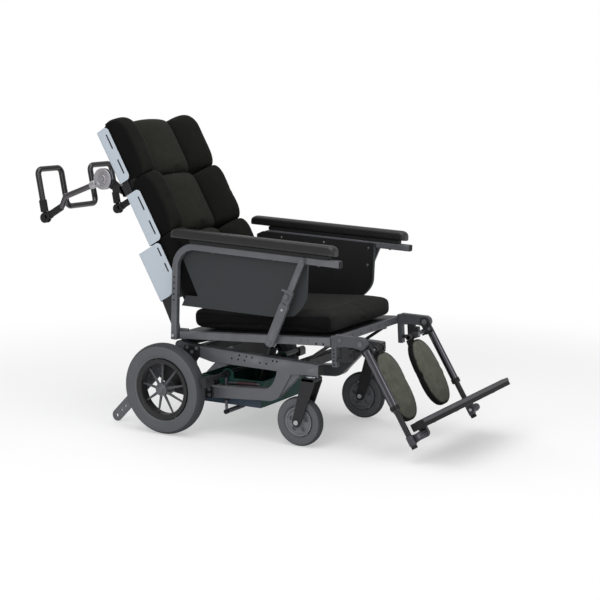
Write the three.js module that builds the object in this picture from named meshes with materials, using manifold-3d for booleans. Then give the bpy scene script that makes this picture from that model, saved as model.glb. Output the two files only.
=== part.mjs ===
// A tilt in space wheelchair. Millimetres, +Z up, the front towards -Y, +X to the occupant's left.
import * as THREE from 'three';
import { mergeVertices } from 'three/addons/utils/BufferGeometryUtils.js';
import Module from 'manifold-3d';

const wasm = await Module();
wasm.setup();

// Shared clearances, counts and angles
const gap = 0.3;
const running = 0.5;
const overrun = 3;
const endInset = 0.4;
const roundSides = 10;
const tubeSides = 8;
const holeSides = 6;
const arcSteps = 5;
const curveSteps = 4;
const degree = Math.PI / 180;

// Seat, in a frame at the tilt pivot that leans back with it. Its half width places all that stands beside it
const seat = {
  lean: 2.8 * degree, halfWidth: 230, railWidth: 24, railBottom: 24, railTop: 50, railFront: -611,
  railRear: -14, lugThick: 10.7, lugFront: -40, lugRear: 25, lugBottom: 20, lugTop: 60, panThick: 6,
  panFront: -600, panRear: -45, beamDepth: 25, wedgeThick: 14, wedgeGap: 1, wedgeLength: 200, wedgeNeck: 12,
  pinRadius: 6, boltRadius: 5, boltHead: 3,
};
const railBoltY = [-499, -525];
const railHoleY = [-559, -585];

// Base side frames
const frame = {
  inset: 25, width: 38, front: -145, frontBottom: 245, frontTop: 284, upperTop: 306, upperTopY: 366,
  deepY: 275, deepBottom: 253, rearBottom: 276, rearBottomY: 380,
  lowerRear: 297, lowerRearBottom: 128, lowerRearTop: 165, lowerBottomY: 56, lowerBottom: 142, lowerTopY: 63,
  lowerTop: 184, bendInnerY: 14, bendInner: 248, bendOuterY: -41, bendOuter: 241, bendLowY: 3, bendLow: 165,
  gussetWidth: 26, gussetY: -70, holeRadius: 3.5, pivotRound: 16,
};
const frameInner = seat.halfWidth - frame.inset;
const frameOuter = frameInner + frame.width;
const frameX = frameInner + frame.width / 2;
// Each hole's place as shares of the way along the top edge and of the depth below it
const frameHoleShares = [
  [0.34, 0.26], [0.39, 0.6], [0.44, 0.6], [0.5, 0.25], [0.545, 0.25], [0.6, 0.25],
  [0.56, 0.62], [0.61, 0.62], [0.66, 0.62], [0.31, 0.26],
];

// Rear wheels
const rear = {
  axleY: 423, radius: 158.75, width: 57, frameGap: 41, crown: 14, sides: 32,
  rimRadius: 106, rimWidth: 44, rimDepth: 17, hubRadius: 23, hubWidth: 60, capRadius: 13, cap: 4,
  spokes: 9, spokeWidth: 11, spokeThick: 9,
};
const rearX = frameOuter + rear.frameGap + rear.width / 2;
const tyreShoulderShare = 0.94;
const tyreSideShare = 0.8;
const tyreSeatShare = 0.72;

// Casters
const caster = {
  pivotY: -110, trail: 44, radius: 84, width: 38, crown: 12, sides: 24,
  hubRadius: 50, hubWidth: 30, hubRecess: 5, hubRing: 9, bossRadius: 15, axleRadius: 6,
  legThick: 6, legGap: 4, legTop: 48, legFoot: 34, crownThick: 13, crownGap: 7,
  washerRadius: 22, washerGap: 1.5, stemRadius: 8, stemLength: 37, boltRadius: 9, boltHead: 4,
};

// Tilt pivot and the strut that holds the tilt
const tilt = {
  y: 412, z: 300, pinRadius: 6, footY: 232, footZ: 120, headY: 152, headZ: 334,
  cylinderRadius: 14, cylinderLength: 165, rodRadius: 6, rodDepth: 34, eyeRadius: 11, eyeWidth: 12,
  eyePin: 5, eyePlay: 3, earThick: 5, earRadius: 12,
};

// Axle carriers and anti-tip bars
const carrier = { thick: 8, length: 246, lap: 29.6, stubRadius: 8, boltRadius: 6, boltHead: 4 };
const carrierShares = [
  [0, 0.02], [0, 0.24], [0.2, 0.3], [0.28, 0.69], [0.22, 0.8], [0.22, 0.99], [0.46, 1], [0.55, 0.77],
  [0.7, 0.66], [0.9, 0.62], [1, 0.5], [0.98, 0.36], [0.82, 0.23], [0.66, 0.04], [0.45, 0],
];
const carrierBoltShares = [[0.26, 0.95], [0.34, 0.87], [0.42, 0.95], [0.06, 0.08], [0.06, 0.19]];
const antiTip = { topY: 488, topZ: 212, endY: 680, endZ: 21, width: 41, thick: 6, holeRadius: 4 };
const antiTipHoleShares = [0, 0.11, 0.2];

// Cross tubes, seat stop and mechanism tray
const cross = { depth: 32, height: 32, frontY: -42, frontZ: 263, rearY: 345, rearZ: 285 };
const stop = { thick: 13, sideGap: 2.5, footY: -52, footZ: 276, headY: -158, headZ: 344 };
const tray = {
  sideGap: 25, front: 110, rear: 370, bottom: 98, top: 190, wall: 3, earLength: 36, earHeight: 34, earInset: 52,
  rearEarInset: 72, bearingHalf: 22, bearingTop: 222,
};
const trayHalf = frameInner - tray.sideGap;

// Parking brake
const brake = {
  y: 250, z: 205, shaftRadius: 8, shoeWidth: 40, shoeRadius: 12, shoeReach: 19, rodGap: 13, rodRadius: 5,
  barRadius: 8, barLength: 118, barBeyond: 8, barZ: 72, collarRadius: 13, collarWidth: 10,
};

// Seat cushion
const cushion = {
  sideGap: 10, front: -602, rear: -42, bottom: 50.3, top: 136, crown: 9, side: 5, edge: 22, nose: 46,
  stations: 14, sides: 24, noseShare: 0.3, tailShare: 0.5,
};

// Arms, in a frame at the post foot that leans forward
const arm = {
  y: 418.8, z: 336.7, lean: -2.7 * degree, lugGap: 0.6, radius: 12.7, foot: -14, top: 316, front: -640,
  bend: 78, bendSteps: 6, holeRadius: 3, holeFirst: 125, holePitch: 20, holes: 5,
};
const armX = seat.halfWidth + seat.lugThick + arm.lugGap + arm.radius;
const armPad = {
  front: -624, rear: 17, bottom: 340, top: 374, width: 44, crown: 4, side: 2, edge: 9, nose: 20, stations: 10,
  sides: 12, blockWidth: 25, blockFront: -600, blockRear: -60, noseShare: 0.5, tipShare: 0.45,
};
const panel = {
  thick: 4, front: -510, rear: -16, top: 320, frontBottom: 195, bendY: -467, bendZ: 125, bottomFront: -406,
  bottomZ: 112, bottomRear: 104, notchTopY: -13, notchTop: 275, notchY: -83, notchZ: 144, notchLowY: -33,
};
const strut = {
  topY: -508, topZ: 316, footY: -397, footZ: 33, width: 20, thick: 8, wall: 3.5, sleeve: 190,
  wideSleeve: 146, wideWall: 6, depth: 120, bore: 90, pinRadius: 4, pinPlay: 3.5, eyeRadius: 12, play: 0.4,
  knobAt: 171, knobRadius: 9, knobHeight: 13, leverAt: 178, leverLength: 14,
};
const strutX = armX + arm.radius + gap + strut.thick / 2;

// Legrest, in a frame at its pivot that slopes forward
const hanger = {
  width: 20, postFront: -630, postTop: 58, postBottom: -45, blockTop: 62, blockBottom: 22, neckRear: -650,
  neckFront: -675, strapTop: -16, strapBottom: -27, noseFront: -691, noseTop: 15, noseBottom: -23, pinRadius: 6,
};
const leg = {
  y: -720, z: 35, slope: 27.7 * degree, sleeveRadius: 13, sleeveTop: -26, sleeveEnd: -240, bore: -85,
  tubeRadius: 9.5, tubeTop: -150, tubeEnd: -373, headThick: 7, headRadius: 17, headGap: 0.5, sleeveOut: 9,
  play: 0.4,
};
const legHeadX = seat.halfWidth - leg.headGap - leg.headThick / 2;
const legX = legHeadX + leg.sleeveOut;
const clamp = {
  y: -30, z: -343, radius: 14, length: 32, pinRadius: 6, pinReach: 16, collarRadius: 12.5,
  collarTop: -329, collarBottom: -362,
};
const clampOuter = legX - leg.sleeveRadius;
const clampInner = clampOuter - clamp.length;
const footplate = {
  front: -190, rear: -11, top: -298, thick: 27, beyondLeg: 5, cornerRadius: 36, notchY: -70, notchGap: 1.5,
  lugThick: 14,
};
const calf = {
  x: 130, pivotY: 16, pivotZ: -30, slope: 1.5 * degree, width: 166, length: 242, thick: 36, crown: 6, drop: 14,
  round: 83, edge: 12, stations: 14, sides: 16, faceY: -14, rodRadius: 6, neckWidth: 26, neckThick: 5,
  neckLength: 120, eyeRadius: 11, eyeWidth: 24, endWidthShare: 0.12, endThickShare: 0.6,
};

// Back, in a frame at its pivot that leans back with it
const back = { y: 424, z: 341, lean: 29.2 * degree, pinRadius: 6 };
const shell = { thick: 3, wingCorner: 16, cornerSteps: 3, padRadius: 8, slotWidth: 3.5, slotInset: 14 };
const upperShell = { bottom: 558, top: 761, rear: -35, corner: 14, front: -91, cutY: 0, cutZ: 0 };
const middleShell = { bottom: 315, top: 510, rear: -41, corner: 8, front: -104, cutY: 0, cutZ: 0 };
const lowerShell = { bottom: 126, top: 310, rear: 19, corner: 14, front: -88, cutY: 41, cutZ: 60 };
const shellSlotShares = [[0.12, 0.4], [0.6, 0.88]];
const shellPadShares = [0.2, 0.8];
const cane = {
  shellGap: 3, width: 12, front: -70, rear: -48, bottom: 131, top: 750, footRear: 10, footRearLow: 17,
  footLow: 25, heelY: 34, heelZ: -4,
  hubPlateGap: 10, hubPlateThick: 4, hubY: 29, hubZ: 615, hubPlateRadius: 26, stemBottom: 514, stemTop: 554,
  stemRear: -26, stemFront: -38,
};
const caneOuter = seat.halfWidth - shell.thick - cane.shellGap;
const caneInner = caneOuter - cane.width;
const hubPlateOuter = caneInner - cane.hubPlateGap;

// Back cushions: one per row, each a centre panel between two bolsters
const lobe = {
  sideGap: 4, seamX: 118, seamY: -84, crownY: -132, crestInset: 39, backY: -44.6, backDraw: 1, wingY: -70.4,
  caneGap: 1, rowGap: 0.6, pinchShare: 0.24, crownShare: 0.98, round: 30, stations: 11, centrePoints: 9,
  bolsterPoints: 6,
};
const lowerLobe = { bottom: 75, top: 324.7, crest: -192, edge: -135, topPinchShare: 0.24 };
const middleLobe = {
  bottom: lowerLobe.top + lobe.rowGap, top: 548.7, crest: -186, edge: -133, topPinchShare: 0.24,
};
const upperLobe = {
  bottom: middleLobe.top + lobe.rowGap, top: 778, crest: -176, edge: -133, topPinchShare: 0.62,
};

// Push handle, in the frame of the back
const handle = {
  caneInset: 11, hubRadius: 38, hubWidth: 18.7, hubPin: 8, tubeRadius: 10.5, ballY: 340, ballZ: 617,
  sleeveRadius: 15, cheekRadius: 19, cheekInner: 4, cheekThick: 7, pinRadius: 5, neck: 30, bendAt: 186,
  bendRise: 24, kneeAt: 221, bend: 16, bendSteps: 3,
};
const handleX = caneOuter - handle.caneInset;
const hubInner = hubPlateOuter + gap;
const hubOuter = hubInner + handle.hubWidth;
const bar = {
  lean: 10.3 * degree, radius: 11, top: 179, low: 32, innerX: 84, bend: 20, bendSteps: 3, foot: 21,
  eyeRadius: 14, eyeWidth: 7,
};

// Finishes
const finish = (color, roughness, metalness) => ({ color, roughness, metalness });
const finishes = {
  greyPaint: finish(0x5a5b61, 0.5, 0.4),
  blackPaint: finish(0x1c1d20, 0.5, 0.4),
  steel: finish(0xa9abae, 0.3, 0.9),
  rubber: finish(0x55575a, 0.8, 0),
  rim: finish(0x4a4b4f, 0.5, 0.2),
  black: finish(0x161616, 0.7, 0),
  tealPaint: finish(0x143832, 0.6, 0.3),
  panel: finish(0x303437, 0.7, 0),
  shell: finish(0xb9c3cd, 0.45, 0),
  vinyl: finish(0x1b1b1a, 0.8, 0),
  calf: finish(0x4a4b44, 0.8, 0),
};

// Solids and meshes
function solidOf(geometry) {
  const bare = geometry.clone();
  bare.deleteAttribute('normal');
  bare.deleteAttribute('uv');
  const merged = mergeVertices(bare);
  return new wasm.Manifold(new wasm.Mesh({
    numProp: 3,
    vertProperties: new Float32Array(merged.attributes.position.array),
    triVerts: new Uint32Array(merged.index.array),
  }));
}

function geometryOf(solid) {
  const mesh = solid.getMesh();
  const geometry = new THREE.BufferGeometry();
  geometry.setAttribute('position', new THREE.BufferAttribute(new Float32Array(mesh.vertProperties), 3));
  geometry.setIndex(new THREE.BufferAttribute(new Uint32Array(mesh.triVerts), 1));
  geometry.computeVertexNormals();
  return geometry;
}

function joined(pieces, cuts = []) {
  if (pieces.length === 1 && cuts.length === 0) return pieces[0];
  let solid = solidOf(pieces[0]);
  for (const piece of pieces.slice(1)) solid = solid.add(solidOf(piece));
  for (const cut of cuts) solid = solid.subtract(solidOf(cut));
  return geometryOf(solid);
}

function addPart(group, name, look, pieces, cuts) {
  const mesh = new THREE.Mesh(joined(pieces, cuts), new THREE.MeshStandardMaterial(look));
  mesh.name = name;
  group.add(mesh);
}

function leaning(y, z, lean) {
  const group = new THREE.Group();
  group.position.set(0, y, z);
  group.rotation.x = -lean;
  return group;
}

// A side outline of [y, z] points, extruded across from one x to another
const toSide = new THREE.Matrix4().set(0, 0, 1, 0, 1, 0, 0, 0, 0, 1, 0, 0, 0, 0, 0, 1);
function slab(outline, fromX, toX) {
  const points = outline instanceof THREE.Shape ? [] : outline.map(([y, z]) => new THREE.Vector2(y, z));
  const shape = outline instanceof THREE.Shape ? outline : new THREE.Shape(points);
  const depth = Math.abs(toX - fromX);
  const geometry = new THREE.ExtrudeGeometry(shape, { depth, bevelEnabled: false, curveSegments: curveSteps });
  return geometry.applyMatrix4(toSide).translate(Math.min(fromX, toX), 0, 0);
}

// A plan outline, raised by a height from a level
function raised(shape, from, height) {
  const settings = { depth: height, bevelEnabled: false, curveSegments: curveSteps };
  const geometry = new THREE.ExtrudeGeometry(shape, settings);
  return geometry.translate(0, 0, from);
}

function box(fromX, toX, fromY, toY, fromZ, toZ) {
  const geometry = new THREE.BoxGeometry(Math.abs(toX - fromX), Math.abs(toY - fromY), Math.abs(toZ - fromZ));
  return geometry.translate((fromX + toX) / 2, (fromY + toY) / 2, (fromZ + toZ) / 2);
}

// A round bar between two points
function rod(from, to, radius, sides = roundSides) {
  const a = new THREE.Vector3(...from);
  const b = new THREE.Vector3(...to);
  const geometry = new THREE.CylinderGeometry(radius, radius, a.distanceTo(b), sides);
  const along = b.clone().sub(a).normalize();
  const turn = new THREE.Quaternion().setFromUnitVectors(new THREE.Vector3(0, 1, 0), along);
  const middle = a.add(b).multiplyScalar(0.5);
  return geometry.applyQuaternion(turn).translate(middle.x, middle.y, middle.z);
}

const pin = (fromX, toX, y, z, radius, sides) => rod([fromX, y, z], [toX, y, z], radius, sides);

// A ring or disc turned about X, from a profile of [radius, x] points
function turned(profile, sides, x, y, z) {
  const flat = 1 / Math.cos(Math.PI / sides);
  const points = profile.map(([radius, along]) => new THREE.Vector2(radius * flat, along));
  const geometry = new THREE.LatheGeometry(points, sides);
  return geometry.rotateY(Math.PI / sides).rotateZ(-Math.PI / 2).translate(x, y, z);
}

// A polygon of [y, z] points about a centre, for round ends
function arcPoints(y, z, radius, from, to, steps) {
  return Array.from({ length: steps + 1 }, (_, i) => {
    const angle = from + (to - from) * i / steps;
    return [y + radius * Math.cos(angle), z + radius * Math.sin(angle)];
  });
}

// A route of straight runs with rounded corners, with one station at each run's end and a few in each bend
class Route extends THREE.Curve {
  constructor(corners, bend, bendSteps) {
    super();
    const points = corners.map((corner) => new THREE.Vector3(...corner));
    const directions = points.slice(1).map((point, i) => point.clone().sub(points[i]).normalize());
    this.stations = [{ at: points[0], along: directions[0] }];
    for (let i = 1; i < points.length - 1; i++) {
      this.addBend(points[i], directions[i - 1], directions[i], bend, bendSteps);
    }
    this.stations.push({ at: points.at(-1), along: directions.at(-1) });
  }

  addBend(corner, before, after, bend, steps) {
    const turn = before.angleTo(after);
    const start = corner.clone().addScaledVector(before, -bend * Math.tan(turn / 2));
    const inward = after.clone().addScaledVector(before, -after.dot(before)).normalize();
    for (let i = 0; i <= steps; i++) {
      const angle = turn * i / steps;
      const at = start.clone().addScaledVector(before, bend * Math.sin(angle));
      at.addScaledVector(inward, bend * (1 - Math.cos(angle)));
      const along = before.clone().multiplyScalar(Math.cos(angle)).addScaledVector(inward, Math.sin(angle));
      this.stations.push({ at, along });
    }
  }

  getSpacedPoints() {
    return this.stations.map((station) => station.at.clone());
  }

  getTangentAt(share) {
    return this.stations[Math.round(share * (this.stations.length - 1))].along.clone();
  }
}

function tube(corners, radius, bend, bendSteps) {
  const route = new Route(corners, bend, bendSteps);
  const section = new THREE.Shape(Array.from({ length: tubeSides }, (_, i) => {
    const angle = 2 * Math.PI * i / tubeSides;
    return new THREE.Vector2(radius * Math.cos(angle), radius * Math.sin(angle));
  }));
  const steps = route.stations.length - 1;
  return new THREE.ExtrudeGeometry(section, { steps, bevelEnabled: false, extrudePath: route });
}

// The triangles that fill a flat ring, turned the way that the ring goes round
function capTriangles(ring) {
  const level = [0, 1, 2].find((axis) => ring.every((point) => point[axis] === ring[0][axis]));
  const flat = ring.map((point) => new THREE.Vector2(...point.filter((_, axis) => axis !== level)));
  const turn = (a, b, c) => Math.sign((b.x - a.x) * (c.y - a.y) - (b.y - a.y) * (c.x - a.x));
  const ringTurn = Math.sign(THREE.ShapeUtils.area(flat));
  return THREE.ShapeUtils.triangulateShape(flat, [])
    .map(([a, b, c]) => (turn(flat[a], flat[b], flat[c]) === ringTurn ? [a, b, c] : [a, c, b]));
}

// A closed skin over rings of points, filled flat at each end
function skin(rings) {
  const sides = rings[0].length;
  const positions = rings.flat(2);
  const faces = [];
  for (let i = 0; i < rings.length - 1; i++) {
    for (let j = 0; j < sides; j++) {
      const [a, b] = [i * sides + j, i * sides + (j + 1) % sides];
      faces.push(a, b, b + sides, a, b + sides, a + sides);
    }
  }
  const last = (rings.length - 1) * sides;
  for (const [a, b, c] of capTriangles(rings[0])) faces.push(a, c, b);
  for (const [a, b, c] of capTriangles(rings.at(-1))) faces.push(last + a, last + b, last + c);
  const geometry = new THREE.BufferGeometry();
  geometry.setAttribute('position', new THREE.BufferAttribute(new Float32Array(positions), 3));
  geometry.setIndex(faces);
  geometry.computeVertexNormals();
  return geometry;
}

// A pad's ring in x and height: flat below, drawn-in sides and a crowned top, all eased at the corners
function padRing(sides, halfWidth, bottom, top, edge, crown, side) {
  const power = 2 / Math.max(1, Math.min(halfWidth, (top - bottom) / 2) / edge);
  return Array.from({ length: sides }, (_, i) => {
    const angle = 2 * Math.PI * (i + 0.5) / sides;
    const [c, s] = [Math.cos(angle), Math.sin(angle)];
    const across = Math.sign(c) * Math.abs(c) ** (power * (top - bottom) / (2 * halfWidth + top - bottom));
    const up = Math.sign(s) * Math.abs(s) ** power;
    const drawn = side * (1 - up * up) * Math.abs(across);
    const raised = up > 0 ? crown * (1 - across * across) * up : 0;
    const rim = top - crown;
    return [across * (halfWidth - drawn / 2), (rim + bottom) / 2 + up * (rim - bottom) / 2 + raised];
  });
}

// The share of full size that a round end leaves, a distance in from that end
const roundEnd = (distance, radius) => Math.sqrt(Math.max(0, 1 - (1 - Math.min(1, distance / radius)) ** 2));

// A share that starts from a least share instead of from nothing
const eased = (least, share) => least + (1 - least) * share;

// Places along a length, drawn closer together at both ends
function easedShares(count) {
  return Array.from({ length: count }, (_, i) => (1 - Math.cos(Math.PI * i / (count - 1))) / 2);
}

const sides = [['right', -1], ['left', 1]];
const chair = new THREE.Group();

// Rear wheels
function rearWheel(group, name, hand) {
  const x = hand * rearX;
  const half = rear.width / 2;
  const seatHalf = rear.rimWidth / 2;
  const rimOuter = rear.rimRadius;
  const bulge = rimOuter + (rear.radius - rimOuter) * tyreSideShare;
  const waist = rimOuter + (rear.radius - rimOuter) * tyreSideShare / 2;
  const tyre = [
    [rimOuter + gap, -half * tyreSeatShare], [waist, -half], [bulge, -half * tyreShoulderShare],
    [rear.radius, -rear.crown], [rear.radius, rear.crown], [bulge, half * tyreShoulderShare],
    [waist, half], [rimOuter + gap, half * tyreSeatShare], [rimOuter + gap, -half * tyreSeatShare],
  ];
  addPart(group, `rear_tyre_${name}`, finishes.rubber, [turned(tyre, rear.sides, x, rear.axleY, rear.radius)]);

  const inner = rimOuter - rear.rimDepth;
  const rim = [
    [rimOuter, -seatHalf], [rimOuter, seatHalf], [inner, seatHalf], [inner, -seatHalf], [rimOuter, -seatHalf],
  ];
  const hubHalf = rear.hubWidth / 2;
  const hub = [[0, -hubHalf], [rear.hubRadius, -hubHalf], [rear.hubRadius, hubHalf], [0, hubHalf]];
  const pieces = [turned(rim, rear.sides, x, rear.axleY, rear.radius),
    turned(hub, roundSides, x, rear.axleY, rear.radius)];
  const length = inner - rear.hubRadius + 2 * overrun;
  for (let i = 0; i < rear.spokes; i++) {
    const spoke = new THREE.BoxGeometry(rear.spokeThick, rear.spokeWidth, length);
    spoke.translate(0, 0, rear.hubRadius - overrun + length / 2).rotateX(2 * Math.PI * i / rear.spokes);
    pieces.push(spoke.translate(x, rear.axleY, rear.radius));
  }
  const outerFace = x + hand * rear.hubWidth / 2;
  const boreEnd = outerFace - hand * overrun;
  pieces.push(pin(boreEnd, outerFace + hand * rear.cap, rear.axleY, rear.radius, rear.capRadius));
  const bore = pin(x - hand * (rear.hubWidth / 2 + overrun), boreEnd, rear.axleY, rear.radius,
    carrier.stubRadius + running);
  addPart(group, `rear_rim_${name}`, finishes.rim, pieces, [bore]);
}

// Casters
function casterWheel(group, name, hand) {
  const x = hand * frameX;
  const axleY = caster.pivotY + caster.trail;
  const half = caster.width / 2;
  const bore = caster.hubRadius + gap;
  const bulge = bore + (caster.radius - bore) * tyreSideShare;
  const tyre = [
    [bore, -half * tyreSeatShare], [bulge, -half * tyreShoulderShare], [caster.radius, -caster.crown],
    [caster.radius, caster.crown], [bulge, half * tyreShoulderShare], [bore, half * tyreSeatShare],
    [bore, -half * tyreSeatShare],
  ];
  addPart(group, `caster_tyre_${name}`, finishes.rubber, [turned(tyre, caster.sides, x, axleY, caster.radius)]);

  const face = caster.hubWidth / 2;
  const web = face - caster.hubRecess;
  const ring = caster.hubRadius - caster.hubRing;
  const axle = caster.axleRadius + running;
  const hub = [
    [axle, -face], [caster.bossRadius, -face], [ring, -web], [caster.hubRadius, -face],
    [caster.hubRadius, face], [ring, web], [caster.bossRadius, face], [axle, face], [axle, -face],
  ];
  addPart(group, `caster_hub_${name}`, finishes.rim, [turned(hub, caster.sides, x, axleY, caster.radius)]);

  const legInner = half + caster.legGap;
  const legOuter = legInner + caster.legThick;
  const crownTop = frame.frontBottom - caster.crownGap;
  const crownBottom = crownTop - caster.crownThick;
  const crownRear = caster.pivotY + caster.legTop / 2;
  const crownFront = caster.pivotY - caster.legTop / 2;
  const pieces = [];
  for (const side of [-1, 1]) {
    const legShape = [
      [crownFront, crownTop], [crownFront, crownBottom],
      ...arcPoints(axleY, caster.radius, caster.legFoot / 2, -Math.PI, 0, arcSteps),
      [crownRear, crownBottom], [crownRear, crownTop],
    ];
    pieces.push(slab(legShape, x + side * legInner, x + side * legOuter));
    const head = x + side * legOuter;
    const headEnd = head + side * caster.boltHead;
    pieces.push(pin(head - side * overrun, headEnd, axleY, caster.radius, caster.boltRadius, holeSides));
  }
  pieces.push(box(x - legOuter, x + legOuter, crownFront, crownRear, crownBottom, crownTop));
  pieces.push(pin(x - legInner - overrun, x + legInner + overrun, axleY, caster.radius, caster.axleRadius));
  const washerTop = frame.frontBottom - caster.washerGap;
  pieces.push(rod([x, caster.pivotY, crownTop - overrun], [x, caster.pivotY, washerTop], caster.washerRadius));
  const stemTop = crownTop + caster.stemLength;
  pieces.push(rod([x, caster.pivotY, crownTop], [x, caster.pivotY, stemTop], caster.stemRadius));
  addPart(group, `caster_fork_${name}`, finishes.blackPaint, pieces);
}

// Base side frames, with the tilt pin at their rear end
function sideFrame(group, name, hand) {
  const inner = hand * frameInner;
  const outer = hand * frameOuter;
  const outline = new THREE.Shape();
  outline.moveTo(frame.front, frame.frontTop);
  outline.lineTo(frame.front, frame.frontBottom);
  outline.lineTo(frame.gussetY, frame.frontBottom);
  outline.lineTo(frame.bendOuterY, frame.bendOuter);
  outline.lineTo(frame.bendLowY, frame.bendLow);
  const bendLowPull = (frame.bendLowY + frame.lowerBottomY) / 3;
  outline.quadraticCurveTo(bendLowPull, frame.lowerBottom, frame.lowerBottomY, frame.lowerBottom);
  outline.lineTo(frame.lowerRear, frame.lowerRearBottom);
  outline.lineTo(frame.lowerRear, frame.lowerRearTop);
  outline.lineTo(frame.lowerTopY, frame.lowerTop);
  const bendInnerPull = frame.bendInnerY + frame.pivotRound;
  outline.quadraticCurveTo(bendInnerPull, frame.lowerTop, frame.bendInnerY, frame.bendInner);
  outline.lineTo(frame.deepY, frame.deepBottom);
  outline.lineTo(frame.rearBottomY, frame.rearBottom);
  const rearRound = arcPoints(tilt.y, tilt.z, frame.pivotRound, -Math.PI / 2, Math.PI / 2, arcSteps);
  for (const [y, z] of rearRound) outline.lineTo(y, z);
  outline.lineTo(frame.upperTopY, frame.upperTop);
  const gusset = [
    [frame.gussetY, frame.frontBottom + overrun], [frame.gussetY, frame.frontBottom - overrun],
    [(frame.gussetY + frame.bendLowY) / 2, (frame.bendOuter + frame.bendLow) / 2],
    [frame.bendLowY, frame.bendLow],
    [frame.bendLowY + overrun, frame.frontBottom + overrun],
  ];
  const gussetFrom = frameX - frame.gussetWidth / 2;
  const tiltPinEnd = inner - hand * (seat.wedgeGap + seat.wedgeThick + overrun);
  const pieces = [
    slab(outline, inner, outer), slab(gusset, hand * gussetFrom, hand * (gussetFrom + frame.gussetWidth)),
    pin(inner + hand * overrun, tiltPinEnd, tilt.y, tilt.z, tilt.pinRadius),
  ];
  const cuts = frameHoleShares.map(([along, down]) => {
    const y = frame.front + along * (frame.upperTopY - frame.front);
    const edge = frame.frontTop + along * (frame.upperTop - frame.frontTop);
    const z = edge - down * (frame.frontTop - frame.frontBottom);
    return pin(inner - hand * overrun, outer + hand * overrun, y, z, frame.holeRadius, holeSides);
  });
  const stemHole = caster.stemRadius + running;
  const holeTop = frame.frontBottom - caster.crownGap + caster.stemLength + running;
  cuts.push(rod([hand * frameX, caster.pivotY, frame.frontBottom - overrun],
    [hand * frameX, caster.pivotY, holeTop], stemHole));
  addPart(group, `base_side_frame_${name}`, finishes.greyPaint, pieces, cuts);
}

// Axle carriers with their stub axles, and the anti-tip bars on them
function rearCorner(group, name, hand) {
  const inner = frameOuter + gap;
  const outer = inner + carrier.thick;
  const startY = frame.lowerRear - carrier.lap;
  const startZ = frame.lowerRearBottom - overrun;
  const height = frame.upperTop - startZ;
  const place = ([along, up]) => [startY + along * carrier.length, startZ + up * height];
  const stubEnd = rearX + rear.hubWidth / 2 - 2 * overrun;
  const pieces = [
    slab(carrierShares.map(place), hand * inner, hand * outer),
    pin(hand * (outer - overrun), hand * stubEnd, rear.axleY, rear.radius, carrier.stubRadius),
  ];
  for (const share of carrierBoltShares) {
    const [y, z] = place(share);
    const headEnd = hand * (outer + carrier.boltHead);
    pieces.push(pin(hand * (outer - overrun), headEnd, y, z, carrier.boltRadius, holeSides));
  }
  addPart(group, `axle_carrier_${name}`, finishes.blackPaint, pieces);

  const barFrom = outer + gap;
  const slope = Math.atan2(antiTip.endZ - antiTip.topZ, antiTip.endY - antiTip.topY);
  const quarter = Math.PI / 2;
  const outline = [
    ...arcPoints(antiTip.endY, antiTip.endZ, antiTip.width / 2, slope - quarter, slope + quarter, arcSteps),
    ...arcPoints(antiTip.topY, antiTip.topZ, antiTip.width / 2, slope + quarter, slope + 3 * quarter, arcSteps),
  ];
  const cuts = antiTipHoleShares.map((share) => {
    const y = antiTip.endY + share * (antiTip.topY - antiTip.endY);
    const z = antiTip.endZ + share * (antiTip.topZ - antiTip.endZ);
    const to = barFrom + antiTip.thick + overrun;
    return pin(hand * (barFrom - overrun), hand * to, y, z, antiTip.holeRadius, holeSides);
  });
  const plate = slab(outline, hand * barFrom, hand * (barFrom + antiTip.thick));
  addPart(group, `anti_tip_bar_${name}`, finishes.greyPaint, [plate], cuts);
}

// Cross tubes; the front one carries the two stops that the seat rests on
function crossTubes(group) {
  const half = frameInner - gap;
  const tubeAt = (y, z) => box(-half, half, y - cross.depth / 2, y + cross.depth / 2, z - cross.height / 2,
    z + cross.height / 2);
  const front = [tubeAt(cross.frontY, cross.frontZ)];
  const across = stop.thick / 2 * Math.hypot(1, (stop.footY - stop.headY) / (stop.headZ - stop.footZ));
  const outline = [
    [stop.footY - across, stop.footZ], [stop.footY + across, stop.footZ],
    [stop.headY + across, stop.headZ], [stop.headY - across, stop.headZ],
  ];
  const stopOuter = frameInner - stop.sideGap;
  for (const [, hand] of sides) front.push(slab(outline, hand * (stopOuter - stop.thick), hand * stopOuter));
  addPart(group, 'base_cross_tube_front', finishes.blackPaint, front);
  addPart(group, 'base_cross_tube_rear', finishes.blackPaint, [tubeAt(cross.rearY, cross.rearZ)]);
}

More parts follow.
